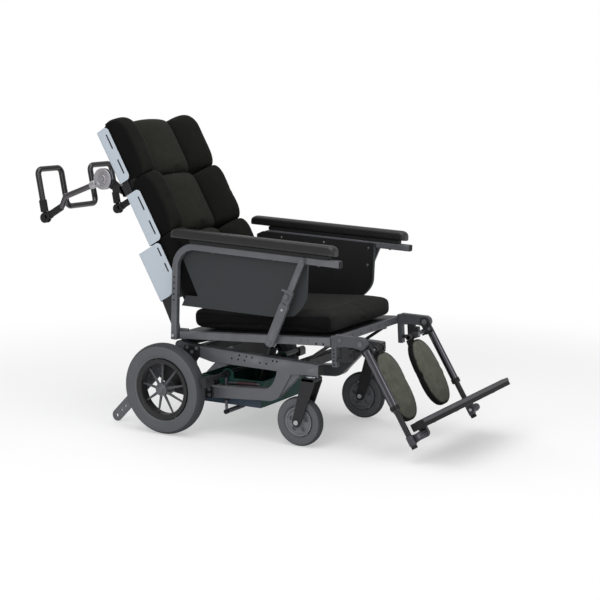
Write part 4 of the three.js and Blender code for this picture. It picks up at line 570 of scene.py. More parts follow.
frame_outline = np.vstack([
    rounded([(frame_front, frame_top), (frame_front, frame_bottom), (-70, frame_bottom), (-41, 241)], 4, 4,
            closed=False)[:-1], [(-41, 241)],
    curve((3, 165), ((3 + 56) / 3, 142), (56, 142)), [(297, 128), (297, 165)],
    curve((63, 184), (30, 184), (14, 248)), [(275, 253), (380, 276)],
    arc(tilt_y, tilt_z, tilt_boss, -90, 90), [(upper_end_y, upper_end_z)],
])
hole_shares = ((0.34, 0.26), (0.39, 0.6), (0.44, 0.6), (0.5, 0.25), (0.545, 0.25), (0.6, 0.25), (0.56, 0.62),
               (0.61, 0.62), (0.66, 0.62), (0.31, 0.26))
for name, hand in sides:
    beam = slab(frame_outline, hand * frame_inner, hand * frame_outer, 2.5)
    holes = []
    for along, down in hole_shares:
        y = frame_front + along * (upper_end_y - frame_front)
        z = frame_top + along * (upper_end_z - frame_top) - down * (frame_top - frame_bottom)
        holes.append(rod((hand * 200, y, z), (hand * 248, y, z), 3.5, 0.1, 20))
    x = hand * caster_x
    holes.append(rod((x, caster_pivot_y, 240), (x, caster_pivot_y, 276), 9, 0.1, 28))
    beam = cut(beam, *holes)
    gusset = rounded([(-70, 248), (-70, 240), (-34, 203), (3, 165), (6, 248)], 2, 3)
    parts = [
        (beam, grey_paint), (slab(gusset, hand * 211, hand * 237, 1.0), grey_paint),
        (rod((hand * 208, tilt_y, tilt_z), (hand * 187, tilt_y, tilt_z), 6), steel),
        (bolt_head((hand * frame_outer, tilt_y, tilt_z), (hand, 0, 0), 8, 5), zinc),
        (block((hand * 207, hand * 241), (294, 299), (130, 163), 4, 1.5), brown_plug),
        (block((hand * 207, hand * 241), (-147, -140), (247, 282), 4, 1.5), black_plastic),
    ]
    piece("base_frame_beam_" + name, parts, base_place, "base", "grey_paint", "base_side_frame_" + name)

# Axle carriers and anti-tip bars
# A black steel plate bolted outside the rear of each side frame holds the stub axle of the rear wheel. A flat
# grey bar bolted on it slopes down behind the wheel, with a row of holes to set its height.
carrier_shares = np.array([(0, 0.02), (0, 0.24), (0.2, 0.3), (0.28, 0.69), (0.22, 0.8), (0.22, 0.99),
                           (0.46, 1), (0.55, 0.77), (0.7, 0.66), (0.9, 0.62), (1, 0.5), (0.98, 0.36),
                           (0.82, 0.23), (0.66, 0.04), (0.45, 0)])
carrier_low, carrier_size = np.array([267.4, 125.0]), np.array([246.0, 181.0])
carrier_bolts = np.array([(0.26, 0.95), (0.34, 0.87), (0.42, 0.95), (0.06, 0.08), (0.06, 0.19)])
bar_top, bar_foot, bar_half = np.array([488.0, 212.0]), np.array([680.0, 21.0]), 20.5
bar_hole_shares, bar_hole_radii, bar_bolt_shares = (0, 0.11, 0.2), (5.5, 4, 4), (0.78, 0.97)
for name, hand in sides:
    outline = rounded(carrier_low + carrier_shares * carrier_size, 6, 4)
    parts = [(slab(outline, hand * 243.3, hand * 251.3, 1.0), black_paint),
             (rod((hand * 249, axle_y, tyre_radius), (hand * 336, axle_y, tyre_radius), 7.9), steel),
             (rod((hand * 251, axle_y, tyre_radius), (hand * 262, axle_y, tyre_radius), 15, 1.0), black_paint)]
    for y, z in carrier_low + carrier_bolts * carrier_size:
        parts.append((bolt_head((hand * 251.3, y, z), (hand, 0, 0), 5.6, 4), zinc))
    piece("axle_plate_" + name, parts, base_place, "base", "black_paint", "axle_carrier_" + name)
    slope = np.degrees(np.arctan2(*(bar_foot - bar_top)[::-1]))
    outline = np.vstack([arc(*bar_foot, bar_half, slope - 90, slope + 90, 16),
                         arc(*bar_top, bar_half, slope + 90, slope + 270, 16)])
    holes = []
    for share, radius in zip(bar_hole_shares, bar_hole_radii):
        spot = bar_foot + share * (bar_top - bar_foot)
        holes.append(rod((hand * 248, *spot), (hand * 262, *spot), radius, 0.1, 24))
    bar = cut(slab(outline, hand * 251.6, hand * 257.6, 1.0), *holes)
    parts = [(bar, grey_paint)]
    for share in bar_bolt_shares:
        spot = bar_foot + share * (bar_top - bar_foot)
        parts.append((bolt_head((hand * 257.5, *spot), (hand, 0, 0), 6, 4), zinc))
    piece("anti_tip_plate_" + name, parts, base_place, "base", "grey_paint", "anti_tip_bar_" + name)

# Cross tubes and seat stops
# Two square tubes with black paint join the side frames. The front one carries two sloping flat stops, with
# rubber tops, that the seat comes down on when it is level.
tube_half = 16.0
square = rounded([(-tube_half, -tube_half), (tube_half, -tube_half), (tube_half, tube_half),
                  (-tube_half, tube_half)], 4, 5)
for name, y, z in (("front", -42, 263), ("rear", 345, 285)):
    parts = [(slab(square + (y, z), -204.7, 204.7, 0.6), black_paint)]
    for _, hand in sides:
        parts.append((block((hand * 199, hand * 204.6), (y - 20, y + 20), (z - 20, z + 14), 3), black_paint))
    if name == "front":
        for _, hand in sides:
            stop = rounded([(-61, 268), (-43, 268), (-149, 341), (-167, 341)], 2, 3)
            parts.append((slab(stop, hand * 189.5, hand * 202.5, 1.2), black_paint))
            parts.append((block((hand * 188, hand * 204), (-170, -146), (338, 343.6), 2, 1), rubber))
    piece(f"cross_tube_{name}", parts, base_place, "base", "black_paint", "base_cross_tube_" + name)

# Mechanism tray
# An open sheet steel tray with dark green paint, bolted to the lower rails, holds the foot of the tilt strut.
# Its walls carry the locking valve, its cable drum and the coil of the brake's return spring.
green_paint = finish("green_paint", screen(28, 78, 69), 0.5, metallic=0.2, lit_worn_edge=screen(90, 110, 106), bump=0.3,
                     mottle=0.3, mottle_scale=9.0)
# The purple of the valve and the drum on the tray walls is painted glint
purple_glint_steel = finish("purple_glint_finish", screen(88, 70, 74), 0.4, metallic=0.6, mottle=0.35, bump=0.15)
blue_paint = finish("blue_grey_paint", screen(46, 60, 75), 0.5, metallic=0.2, bump=0.2)
tray_half, tray_front, tray_rear, tray_bottom, tray_top = 180.0, 110.0, 370.0, 98.0, 190.0
tray_sheet, tray_corner = 3.0, 14.0
shaft_y, shaft_z = 250.0, 205.0


def tray_outline(inset):
    """The tray seen from above, drawn in by an inset, with round corners."""
    half, front, rear = tray_half - inset, tray_front + inset, tray_rear - inset
    return rounded([(-half, front), (half, front), (half, rear), (-half, rear)], tray_corner - inset, 6)


holes = []
for _, hand in sides:
    for y in (160, 178, 238, 340):
        holes.append(rod((hand * 170, y, 140), (hand * 190, y, 140), 6, 0.1, 20))
tray = cut(slab(tray_outline(0), tray_bottom, tray_top, 1.5, 2),
           slab(tray_outline(tray_sheet), tray_bottom + tray_sheet, tray_top + 10, 0.4, 2), *holes)
parts = [(tray, green_paint)]
bearing = rounded([(228, 150), (272, 150), (272, 222), (228, 222)], [1, 1, 18, 18], 8)
for _, hand in sides:
    shaft_hole = rod((hand * 170, shaft_y, shaft_z), (hand * 190, shaft_y, shaft_z), 8.6, 0.1, 28)
    parts.append((cut(slab(bearing, hand * 177, hand * 180.3, 0.6), shaft_hole), green_paint))
for y in (115, 189):
    for _, hand in sides:
        parts.append((block((hand * 179, hand * 204.7), (y, y + 36), (135, 169), 3, 1.2), green_paint))
ear = np.vstack([arc(232, 120, 12, 0, 180), [(220, 100), (244, 100)]])
for _, hand in sides:
    parts.append((slab(ear, hand * 6.5, hand * 11.5, 0.8), green_paint))
parts.append((rod((-15, 232, 120), (15, 232, 120), 4.9), steel))
for _, hand in sides:
    wall, valve = hand * tray_half, hand * (tray_half + 11)
    parts += [
        (block((wall - hand, wall + hand * 9), (110.5, 362), (98.5, 125), 2, 1), blue_paint),
        (rod((valve, 126, 181), (valve, 204, 178), 8.0, 2.0), purple_glint_steel),
        (rod((valve, 114, 181.5), (valve, 128, 181), 4.5), zinc),
        (rod((valve, 202, 178), (valve, 240, 176), 4.0), zinc),
        (rod((wall - hand, 154, 165), (wall + hand * 5, 154, 165), 15, 2.0, 40), purple_glint_steel),
        (rod((wall - hand, 305, 167), (wall + hand * 14, 305, 167), 19, 2.0, 40), black_paint),
        (rod((wall, 305, 167), (wall + hand * 18, 305, 167), 7, 1.0), zinc),
        (block((wall - hand, wall + hand * 8), (160, 182), (150, 187), 2, 1), green_paint),
    ]
    for y, z in ((171, 182), (171, 158), (124, 158), (345, 180), (345, 130)):
        parts.append((bolt_head((wall + hand * (8 if y == 171 else 0), y, z), (hand, 0, 0), 4.5, 3.5), zinc))
piece("green_tray", parts, base_place, "base", "teal_paint", "mechanism_tray")

# Spring coils on the tray's walls
# One wire wound into an open coil on each side returns the brake: its route is a helix about a line parallel
# to the wall, centre + (R cos t, s t, R sin t).
coil_turns, turn_steps, coil_radius, wire_radius = 14, 16, 7.0, 1.3
coil_x, coil_start, coil_length, coil_z = 189.3, 222.0, 62.0, 160.0
for name, hand in sides:
    t = np.linspace(0, 2 * np.pi * coil_turns, coil_turns * turn_steps + 1)
    route = np.column_stack([hand * coil_x + coil_radius * np.cos(t), coil_start + coil_length * t / t[-1],
                             coil_z + coil_radius * np.sin(t)])
    heading = unit(np.gradient(route, axis=0))
    away = unit(np.column_stack([np.cos(t), 0 * t, np.sin(t)]))
    ring = circle(wire_radius, 6)
    up = np.cross(heading, away)
    wire = skin(route[:, None] + ring[None, :, :1] * away[:, None] + ring[None, :, 1:] * up[:, None])
    piece("return_spring_" + name, [(wire, steel)], base_place, "base", "bright_steel")

# Parking brake
# A cross shaft carries a padded shoe in front of each rear tyre. A drop rod behind the right lower rail ends in
# a foot bar with a black cap, and treading on it turns the shoes into the tyres.
shaft_half, shaft_radius, drop_x, foot_bar_z = 332.0, 7.9, -192.0, 72.0
shoe = np.vstack([arc(shaft_y, shaft_z, 12, 0, 180), [(238, 186), (250, 180), (256, 186)]])
shaft = rod((-shaft_half, shaft_y, shaft_z), (shaft_half, shaft_y, shaft_z), shaft_radius, 1.0)
parts = [(shaft, black_paint)]
parts += [(slab(shoe, hand * 292.5, hand * 332.5, 1.2), black_paint) for _, hand in sides]
parts += [
    (rod((drop_x - 5, shaft_y, shaft_z), (drop_x + 5, shaft_y, shaft_z), 13, 1.0), black_paint),
    (rod((drop_x, shaft_y, shaft_z), (drop_x, shaft_y, foot_bar_z), 5, 0.5), grey_paint),
    (rod((drop_x, shaft_y, 112), (drop_x, shaft_y, 126), 8, 1.5), black_plastic),
    (rod((-196, shaft_y, foot_bar_z), (-82, shaft_y, foot_bar_z), shaft_radius, 1.5), grey_paint),
    (rod((-200, shaft_y, foot_bar_z), (-186, shaft_y, foot_bar_z), 8.4, 2.0), black_plastic),
]
piece("brake_linkage", parts, base_place, "brake", "black_paint", "parking_brake")

# Tilt strut
# A lockable gas strut leans from the tray up to the seat pan: a black cylinder below, and a bright rod above
# with an eye at its end.
foot, head = np.array([0, 232.0, 120.0]), np.array([0, 152.0, 334.0])
along = unit(head - foot)


def eye(centre, radius, bore, half):
    """A ring with a bore across, its profile a rounded rectangle carried round the X axis."""
    section = rounded([(-half, bore), (-half, radius), (half, radius), (half, bore)], 0.6, 3)
    return turned(section, centre, count=36, loop=True)


barrel = rounded([(16, 4), (16, 12), (20, 14), (160, 14), (165, 12), (165, 6.6), (40, 6.6), (40, 4)], 1, 3)
cylinder = turned(barrel, foot, along, 40, loop=True)
piece("gas_strut_cylinder", [(cylinder, black_paint), (eye(foot, 11, 5.5, 6), black_paint),
                             (rod(foot + 8 * along, foot + 22 * along, 5.5), black_paint)],
      base_place, "tilt_cylinder", "black_paint", "tilt_cylinder")
piece("gas_strut_rod", [(rod(foot + 42 * along, head - 11 * along, 5.9), steel), (eye(head, 14, 8, 6), steel)],
      base_place, "tilt_rod", "bright_steel", "tilt_rod")

# Seat rails
# Two grey box tubes carry the seat. Each has a steel lug at its rear for the pivots of the back and the arm,
# a pin for the foot of the arm strut, bolts for the pan and two holes near the front.
seat_y, seat_z, seat_lean = 0.196729, 0.300, 2.8
seat_place = leaned(seat_y, seat_z, seat_lean)
rail_inner, rail_outer, rail_low, rail_high = 230.0, 254.0, 24.0, 50.0
rail_front, rail_rear = -611.0, -14.0


def in_seat(y, z):
    """A place given level from the tilt pivot, in the seat's frame: (y cos a - z sin a, y sin a + z cos a)."""
    lean = np.radians(seat_lean)
    return y * np.cos(lean) - z * np.sin(lean), y * np.sin(lean) + z * np.cos(lean)


back_pin, arm_pin = in_seat(12, 41), in_seat(6.8, 36.7)
strut_foot = in_seat(1000 * (-0.194584 - seat_y), 1000 * (0.350962 - seat_z))
for name, hand in sides:
    inner, outer = hand * rail_inner, hand * rail_outer
    section = rounded([(inner, rail_low), (outer, rail_low), (outer, rail_high), (inner, rail_high)], 3, 4)
    rail = slab(section, rail_front, rail_rear, 0.8, 1)
    holes = [rod((hand * 226, y, 30.5), (hand * 258, y, 30.5), 3.5, 0.1, 20) for y in (-559, -585)]
    lug = rounded([(-40, 22), (22, 20), (25, 23), (25, 57), (22, 60), (-40, 58)], 3, 4)
    parts = [
        (cut(rail, *holes), grey_paint), (slab(lug, inner, hand * 240.7, 1.0), grey_paint),
        (block((hand * 231.5, hand * 252.5), (-16, -12.5), (25.5, 48.5), 3, 1), black_plastic),
        (rod((hand * 232, *back_pin), (hand * 215, *back_pin), 5.9), steel),
        (rod((hand * 238, *arm_pin), (hand * 269.5, *arm_pin), 5.9), steel),
        (rod((hand * 252, *strut_foot), (hand * 281, *strut_foot), 3.9), steel),
        (rod((hand * 278.6, *strut_foot), (hand * 281.4, *strut_foot), 7, 0.8), zinc),
    ]
    for y in (-499, -525):
        parts.append((bolt_head((outer, y, 37), (hand, 0, 0), 4.4, 3), zinc))
    piece("seat_rail_tube_" + name, parts, seat_place, "seat", "grey_paint", "seat_rail_" + name)

# Seat pan
# A pressed steel pan between the rails, with a grey beam bolted under its front edge, a rear beam, and two deep
# wedge plates that reach down to the tilt pivots. Two ears hold the pin for the head of the tilt strut.
pan_half, slot_half, slot_length = 229.7, 8.0, 90.0
head_seat = in_seat(head[1] - tilt_y, head[2] - tilt_z)
wedge = np.vstack([arc(0, 0, tilt_boss, -120, 0),
                   [(tilt_boss, 44), (-45, 47), (-200, 47), (-200, 24), (-100, 12), (-45, 0)]])
ear = np.vstack([[(head_seat[0] - 12, 47)], arc(*head_seat, 12, 180, 360), [(head_seat[0] + 12, 47)]])
pan_plan = rounded([(-pan_half, -600), (pan_half, -600), (pan_half, -45), (-pan_half, -45)], 8, 5)
slots = []
for x in (-150, -50, 50, 150):
    for y in (-520, -360, -200):
        slot = [(x - slot_half, y), (x + slot_half, y), (x + slot_half, y + slot_length),
                (x - slot_half, y + slot_length)]
        slots.append(slab(rounded(slot, 7.5, 6), 40, 56, 0.1, 2))
pan = cut(slab(pan_plan, 44, 50, 1.0, 2), *slots)
beam_section = rounded([(rail_front, 24), (-586, 24), (-586, 49), (rail_front, 49)], 3, 4)
parts = [(pan, black_paint), (slab(beam_section, -pan_half, pan_half, 0.8), grey_paint),
         (block((-pan_half, pan_half), (-45, -20), (24, 49.5), 3), black_paint)]
for _, hand in sides:
    hole = rod((hand * 185, 0, 0), (hand * 210, 0, 0), 6.6, 0.1, 28)
    parts.append((cut(slab(wedge, hand * 190, hand * 204, 1.2), hole), black_paint))
    parts.append((slab(ear, hand * 6.5, hand * 11.5, 0.6), black_paint))
    for x in (40, 95, 150, 205):
        parts.append((bolt_head((hand * x, rail_front, 37), (0, -1, 0), 5, 3.5), zinc))
parts.append((rod((-14, *head_seat), (14, *head_seat), 4.9), steel))
piece("pressed_seat_pan", parts, seat_place, "seat", "black_paint", "seat_pan")

# Seat cushion
# A block of foam in a woven cover that stretches over it, charcoal on top and in front, with black sides sewn
# on at its upper edge. It lies on the pan between the arms.
seat_low, seat_high = np.array([-220.0, -602.0, 50.6]), np.array([220.0, -42.0, 134.0])
charcoal, side_black = screen(33, 33, 32), screen(11, 11, 13)

weave_group, given, made = shader_group("plain_weave", (("Position", "Vector"), ("Threads", "Float")),
                                        ("Height", "Tint"))
cords = add_node(weave_group, "SeparateXYZ", None, Vector=given.outputs[0])
rise = add_node(weave_group, "Math", {"operation": "SUBTRACT"}, _0=cords.outputs[1], _1=cords.outputs[2])
first = add_node(weave_group, "Math", {"operation": "MULTIPLY_ADD"}, _0=rise.outputs[0], _1=0.35,
                 _2=cords.outputs[0])
second = add_node(weave_group, "Math", {"operation": "ADD"}, _0=cords.outputs[1], _1=cords.outputs[2])
waves = []
for direction in (first, second):
    angle = add_node(weave_group, "Math", {"operation": "MULTIPLY"}, _0=direction.outputs[0],
                     _1=given.outputs[1])
    waves.append(add_node(weave_group, "Math", {"operation": "SINE"}, _0=angle.outputs[0]).outputs[0])
over = add_node(weave_group, "Math", {"operation": "MULTIPLY"}, _0=waves[0], _1=waves[1])
over = add_node(weave_group, "MapRange", None, Value=over.outputs[0], From_Min=-1.0)
fuzz = add_node(weave_group, "TexNoise", None, Vector=given.outputs[0], Scale=38.0, Detail=6.0, Roughness=0.65)
fuzz = add_node(weave_group, "MapRange", None, Value=fuzz.outputs[0], From_Min=0.3, From_Max=0.7)
weave_group.links.new(over.outputs[0], made.inputs[0])
weave_group.links.new(fuzz.outputs[0], made.inputs[1])


def cloth(name, colour, other, mask, threads=3400.0, bump=0.35):
    """Woven cover: its colour drifts a little, and turns into the other colour where an attribute says so."""
    material = bpy.data.materials.new(name)
    material.use_nodes = True
    tree = material.node_tree
    shader = tree.nodes["Principled BSDF"]
    spot = add_node(tree, "TexCoord")
    weave = add_node(tree, "Group", {"node_tree": weave_group}, Position=spot.outputs["Object"],
                     Threads=threads)
    where = add_node(tree, "Attribute", {"attribute_name": mask})
    main = blend_colours(tree, weave.outputs["Tint"], shade(colour, -0.22), shade(colour, 0.22))
    apart = blend_colours(tree, weave.outputs["Tint"], shade(other, -0.2), shade(other, 0.2))
    base = blend_colours(tree, where.outputs["Fac"], main, apart)
    gloss = add_node(tree, "MapRange", None, Value=weave.outputs["Tint"], To_Min=0.82, To_Max=0.96)
    height = add_node(tree, "Bump", None, Strength=bump, Distance=0.0005, Height=weave.outputs["Height"])
    tree.links.new(base, shader.inputs["Base Color"])
    tree.links.new(gloss.outputs[0], shader.inputs["Roughness"])
    tree.links.new(height.outputs[0], shader.inputs["Normal"])
    shader.inputs["Sheen Weight"].default_value = 0.03
    shader.inputs["Sheen Roughness"].default_value = 0.4
    shader.inputs["Specular IOR Level"].default_value = 0.12
    return material


def pillow_block(low, high, radius, count):
    """A box with round edges: each point of six square grids is pushed to radius r from the nearest point of
    the box that is smaller by r on every side."""
    grid = np.linspace(-1, 1, count)
    u, v = (a.ravel() for a in np.meshgrid(grid, grid, indexing="ij"))
    cell = np.arange(count * count).reshape(count, count)
    quads = np.stack([cell[:-1, :-1], cell[1:, :-1], cell[1:, 1:], cell[:-1, 1:]], -1).reshape(-1, 4)
    points, faces = [], []
    for axis in range(3):
        for sign in (-1, 1):
            face = np.empty((count * count, 3))
            face[:, axis], face[:, (axis + 1) % 3], face[:, (axis + 2) % 3] = sign, sign * u, v
            faces.append(quads + len(points) * count * count)
            points.append(face)
    middle, half = (low + high) / 2, (high - low) / 2
    places = np.vstack(points) * half
    core = np.clip(places, -(half - radius), half - radius)
    places = middle + core + radius * unit(places - core + 1e-9)
    return places, list(map(tuple, np.vstack(faces).tolist()))


def relaxed(points, edges, times, share=0.5):
    """Moves each point a share of the way to the mean of its neighbours, some times over."""
    degree = np.bincount(edges.ravel(), minlength=len(points))[:, None]
    for _ in range(times):
        total = np.zeros_like(points)
        np.add.at(total, edges[:, 0], points[edges[:, 1]])
        np.add.at(total, edges[:, 1], points[edges[:, 0]])
        points = points + share * (total / degree - points)
    return points


def stuffed(name, shape, place, voxel, pressure, reach, material, body, node, shaping):
    """A padded piece. Its skin is remeshed evenly and, as cloth without weight, blown up from inside for twenty
    steps, with no point moving further than its reach. Then shaping moves the points, given and returned in
    millimetres of the piece's frame, and returns the share of the second colour at each."""
    points, faces = shape
    thing = scene_object(name, points / 1000, faces)
    weld = thing.modifiers.new("weld", "WELD")
    weld.merge_threshold = 0.0002
    remesh = thing.modifiers.new("even_skin", "REMESH")
    remesh.mode, remesh.voxel_size = "VOXEL", voxel / 1000
    thing.data = bpy.data.meshes.new_from_object(thing.evaluated_get(bpy.context.evaluated_depsgraph_get()))
    thing.modifiers.clear()
    edges = np.empty(2 * len(thing.data.edges), np.int32)
    thing.data.edges.foreach_get("vertices", edges)
    edges = edges.reshape(-1, 2)
    rest = relaxed(read_points(thing.data), edges, 3)
    thing.data.vertices.foreach_set("co", rest.ravel())
    blown = thing.modifiers.new("blown", "CLOTH")
    blown.settings.use_pressure = True
    blown.settings.uniform_pressure_force = pressure
    blown.settings.effector_weights.gravity = 0
    blown.settings.tension_stiffness = blown.settings.compression_stiffness = 12
    blown.settings.quality = 4
    for step in range(1, 21):
        bpy.context.scene.frame_set(step)
    after = read_points(thing.evaluated_get(bpy.context.evaluated_depsgraph_get()).data)
    bpy.context.scene.frame_set(1)
    thing.modifiers.clear()
    move = after - rest
    length = np.linalg.norm(move, axis=1, keepdims=True)
    rest = rest + move * np.minimum(1, reach / 1000 / np.maximum(length, 1e-9))
    rest = relaxed(rest, edges, 2, 0.4)
    shaped, share = shaping(rest * 1000)
    thing.data.vertices.foreach_set("co", place(shaped).ravel())
    mask = thing.data.attributes.new("border", "FLOAT", "POINT")
    mask.data.foreach_set("value", np.asarray(share, np.float32))
    thing.data.materials.clear()
    thing.data.materials.append(material)
    thing.data.update()
    thing.data.shade_smooth()
    finer = thing.modifiers.new("finer", "SUBSURF")
    finer.levels = finer.render_levels = 1
    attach(thing, body)
    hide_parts(node)
    return thing


def ramp(value, low, high):
    """A share that goes smoothly from 0 at low to 1 at high: 3 t^2 - 2 t^3."""
    t = np.clip((value - low) / (high - low), 0, 1)
    return t * t * (3 - 2 * t)


def fitted(points, low, high):
    """Points stretched along each axis so that they fill a box: low + (p - min) (high - low) / (max - min)."""
    least, most = points.min(0), points.max(0)
    return low + (points - least) * (np.asarray(high) - low) / (most - least)


def seat_shape(points):
    """The blown cushion, stretched to its space: crowned on top by (1 - u^2)(1 - v^2), flat below, its sides
    drawn in between the corners, and a seam sunk round the sides just below the upper edge."""
    x, y, z = fitted(points, seat_low, seat_high).T
    middle, half = (seat_low + seat_high) / 2, (seat_high - seat_low) / 2
    u, v = (x - middle[0]) / half[0], (y - middle[1]) / half[1]
    top = ramp(z, 80, 110)
    z = z + top * (5 * (1 - np.clip(u, -1, 1) ** 2) * (1 - np.clip(v, -1, 1) ** 2) - 3)
    z = np.maximum(z, seat_low[2])
    side = ramp(np.abs(u), 0.9, 0.98)
    x = x - np.sign(x) * side * 2.2 * (1 - np.clip(v, -1, 1) ** 4)
    seam = np.exp(-((z - 115) / 2.6) ** 2) * side
    x = x - np.sign(x) * 1.8 * seam
    share = ramp(np.abs(x), 204, 210) * (1 - ramp(z, 113, 117))
    return np.column_stack([np.clip(x, -226, 226), np.clip(y, -609, -38), z]), share


seat_cloth = cloth("seat_cover", charcoal, side_black, "border")
inner_low, inner_high = seat_low + (4, 4, 1), seat_high - (4, 4, 4)
stuffed("seat_cushion_cover", pillow_block(inner_low, inner_high, 24.0, 24), seat_place, 6.0, 1.4, 8.0,
        seat_cloth, "seat", "seat_cushion", seat_shape)

# Arms
# Bent grey steel tube: a post that stands on the seat rail's rear lug, with five height holes, turns forward
# under a black moulded pad. The pad is screwed to a packing strip on the tube.
arm_place = leaned(0.203529, 0.3367, -2.7)
arm_x, arm_front, arm_top, arm_bend, pin_y = 254.0, -640.0, 316.0, 78.0, -508.0
pad_rear, pad_length, pad_half, pad_bottom, pad_thick = 17.0, 641.0, 21.5, 340.3, 30.0
# The strong light grey on the pad's edges is painted highlight along its top edges, with some wear
pad_black = finish("pad_black", screen(22, 22, 23), 0.36, lit_worn_edge=screen(96, 95, 96), edge_wear_and_light=0.7, grain=300.0,
                   bump=0.4)
tube_section = rounded([(-11.7, -11.7), (11.7, -11.7), (11.7, 11.7), (-11.7, 11.7)], 5, 5)
for name, hand in sides:
    x = hand * arm_x
    route = rounded([(x, 0, -14), (x, 0, arm_top), (x, arm_front, arm_top)], arm_bend, 16, closed=False)
    parts = [(swept(route, tube_section, (1, 0, 0)), grey_paint),
             (slab(rounded([(-598, 327), (-60, 327), (-60, 339.7), (-598, 339.7)], 2, 3), x - 12, x + 12, 0.8),
              black_plastic),
             (block((x - 11, x + 11), (-642.5, -636), (305, 327), 4, 1.5), black_plastic),
             (rod((x, pin_y, arm_top), (x + hand * 24.5, pin_y, arm_top), 3.9), steel),
             (rod((x + hand * 21.2, pin_y, arm_top), (x + hand * 24.8, pin_y, arm_top), 7, 1.0), zinc)]
    for step in range(5):
        z = 125 + 20 * step
        for side in (-1, 1):
            face = x + side * 11.2
            parts.append((rod((face, 0, z), (face + side * 0.9, 0, z), 3.6, 0.3, 20), black_plastic))
    for y in (-150, -390, -560):
        parts.append((bolt_head((x, y, 304.3), (0, 0, -1), 4.5, 3), zinc))
    piece("arm_bent_tube_" + name, parts, arm_place, "arm_" + name, "grey_paint", "arm_tube_" + name)
    t = np.linspace(0, 1, 40)
    y = pad_rear - pad_length * (1 - np.cos(np.pi * t)) / 2
    inset = np.maximum(np.minimum(pad_rear - y, y + pad_length - pad_rear), 0.4)
    end = np.sqrt(1 - (1 - np.minimum(1, inset / 16)) ** 2)
    half = pad_half * (0.5 + 0.5 * end)
    rise = (0.5 + 0.5 * np.sqrt(1 - (1 - np.minimum(1, inset / 22)) ** 2))
    turn = 2 * np.pi * np.arange(40) / 40
    wide, tall = (np.sign(f(turn)) * np.abs(f(turn)) ** 0.45 for f in (np.cos, np.sin))
    crown = np.where(tall > 0, 3.5 * (1 - wide ** 2), 0)
    height = pad_bottom + (pad_thick * rise[:, None]) * (tall[None] + 1) / 2 + crown[None] * rise[:, None]
    across = x + half[:, None] * wide[None] * (1 - 0.05 * (1 - tall[None] ** 2))
    rings = np.stack([across, np.broadcast_to(y[:, None], across.shape), height], -1)
    piece("arm_pad_moulding_" + name, [(skin(rings), pad_black)], arm_place, "arm_" + name, "black_plastic",
          "arm_pad_" + name, smooth=60)

# Side panels
# A dark grey plastic sheet clipped inside each arm keeps clothes off the wheels. Its front edge is turned
# inwards, and screws fix it to the tube.
panel_grey = finish("panel_grey", screen(38, 42, 45), 0.6, grain=350.0, bump=0.35, mottle=0.14,
                    mottle_scale=6.0)
front_bend = curve((-510, 195), (-510, 160), (-467, 125))
# The notch in the rear edge lets the back's black side show where shadow falls on the panel: a dark stand-in for
# painted shadow
rear_edge = [(-406, 112), (-16, 104), (-33, 141), (-83, 144), (-13, 275), (-13, 307.3), (-38.4, 320)]
panel_edge = np.vstack([[(-510, 320)], front_bend, rear_edge])
lip_path = np.vstack([[(-510, 318)], front_bend])
for name, hand in sides:
    sheet = slab(panel_edge, hand * 238.4, hand * 241, 0.7)
    liner = slab(panel_edge, hand * 237.2, hand * 238.6, 0.3)
    lip_route = np.column_stack([np.full(len(lip_path), hand * 234.5), lip_path + (1.6, 1.0)])
    lip_section = rounded([(-5.5, -1.6), (5.5, -1.6), (5.5, 1.6), (-5.5, 1.6)], 0.8, 3)
    parts = [(sheet, panel_grey), (liner, black_plastic),
             (swept(lip_route, lip_section, (1, 0, 0), 0.5), panel_grey)]
    for y, z in ((-482, 300), (-482, 240), (-300, 304), (-120, 304)):
        parts.append((rod((hand * 237.3, y, z), (hand * 235.4, y, z), 4.5, 0.8, 24), steel))
    piece("side_panel_sheet_" + name, parts, arm_place, "arm_" + name, "panel_plastic", "side_panel_" + name)

# Arm struts
# A flat grey bar slides in a flat sleeve that stands on the seat rail. A knob clamps it, a small lever frees
# it, and the bar's eye hangs on a pin under the arm.
foot, head = np.array([-397.0, 33.0]), np.array([pin_y, arm_top])
reach = np.linalg.norm(head - foot)
along = unit(head - foot)
across = np.array([-along[1], along[0]])


def strip(start, end, half, x, radius=3.0, ease=1.0):
    """A flat bar along the strut between two distances from its foot."""
    corners = ((start, -half), (start, half), (end, half), (end, -half))
    return slab(rounded([foot + along * d + across * s for d, s in corners], radius, 5), *x, ease)


for name, hand in sides:
    inner, outer = hand * 267, hand * 275
    hole = rod((hand * 262, *head), (hand * 280, *head), 7.5, 0.1, 28)
    parts = [(cut(strip(120, reach + 11, 10, (inner, outer), 9, 1.0), hole), grey_paint)]
    piece("strut_bar_" + name, parts, arm_place, "strut_upper_" + name, "grey_paint",
          "arm_strut_upper_" + name)
    sleeve_inner, sleeve_outer = hand * 263.6, hand * 278.5
    bore = strip(90, 196, 10.4, (hand * 266.6, hand * 275.4), 0.5, 0.2)
    knob = foot + along * 171
    lever = foot + along * 184
    parts = [
        (cut(strip(-15, 148, 16, (sleeve_inner, sleeve_outer), 12, 1.4), bore,
             rod((hand * 260, *foot), (hand * 282, *foot), 4.6, 0.1, 28)), grey_paint),
        (cut(strip(143, 190, 13.5, (sleeve_inner, sleeve_outer), 2, 1.2), bore), grey_paint),
        (rod((hand * 276.5, *knob), (hand * 291.5, *knob), 9, 2.0, 40), grey_paint),
        (rod((hand * 276.5, *(knob - along * 48)), (hand * 280.5, *(knob - along * 48)), 4.5, 1.0), steel),
        (swept([(hand * 272, *(lever + across * -10)), (hand * 274, *(lever + across * -22)),
                (hand * 279, *(lever + across * -27))], circle(4.0, 16), along @ [[0, 1, 0], [0, 0, 1]], 1.5),
         grey_paint),
    ]
    piece("strut_sleeve_" + name, parts, arm_place, "strut_lower_" + name, "grey_paint",
          "arm_strut_lower_" + name)

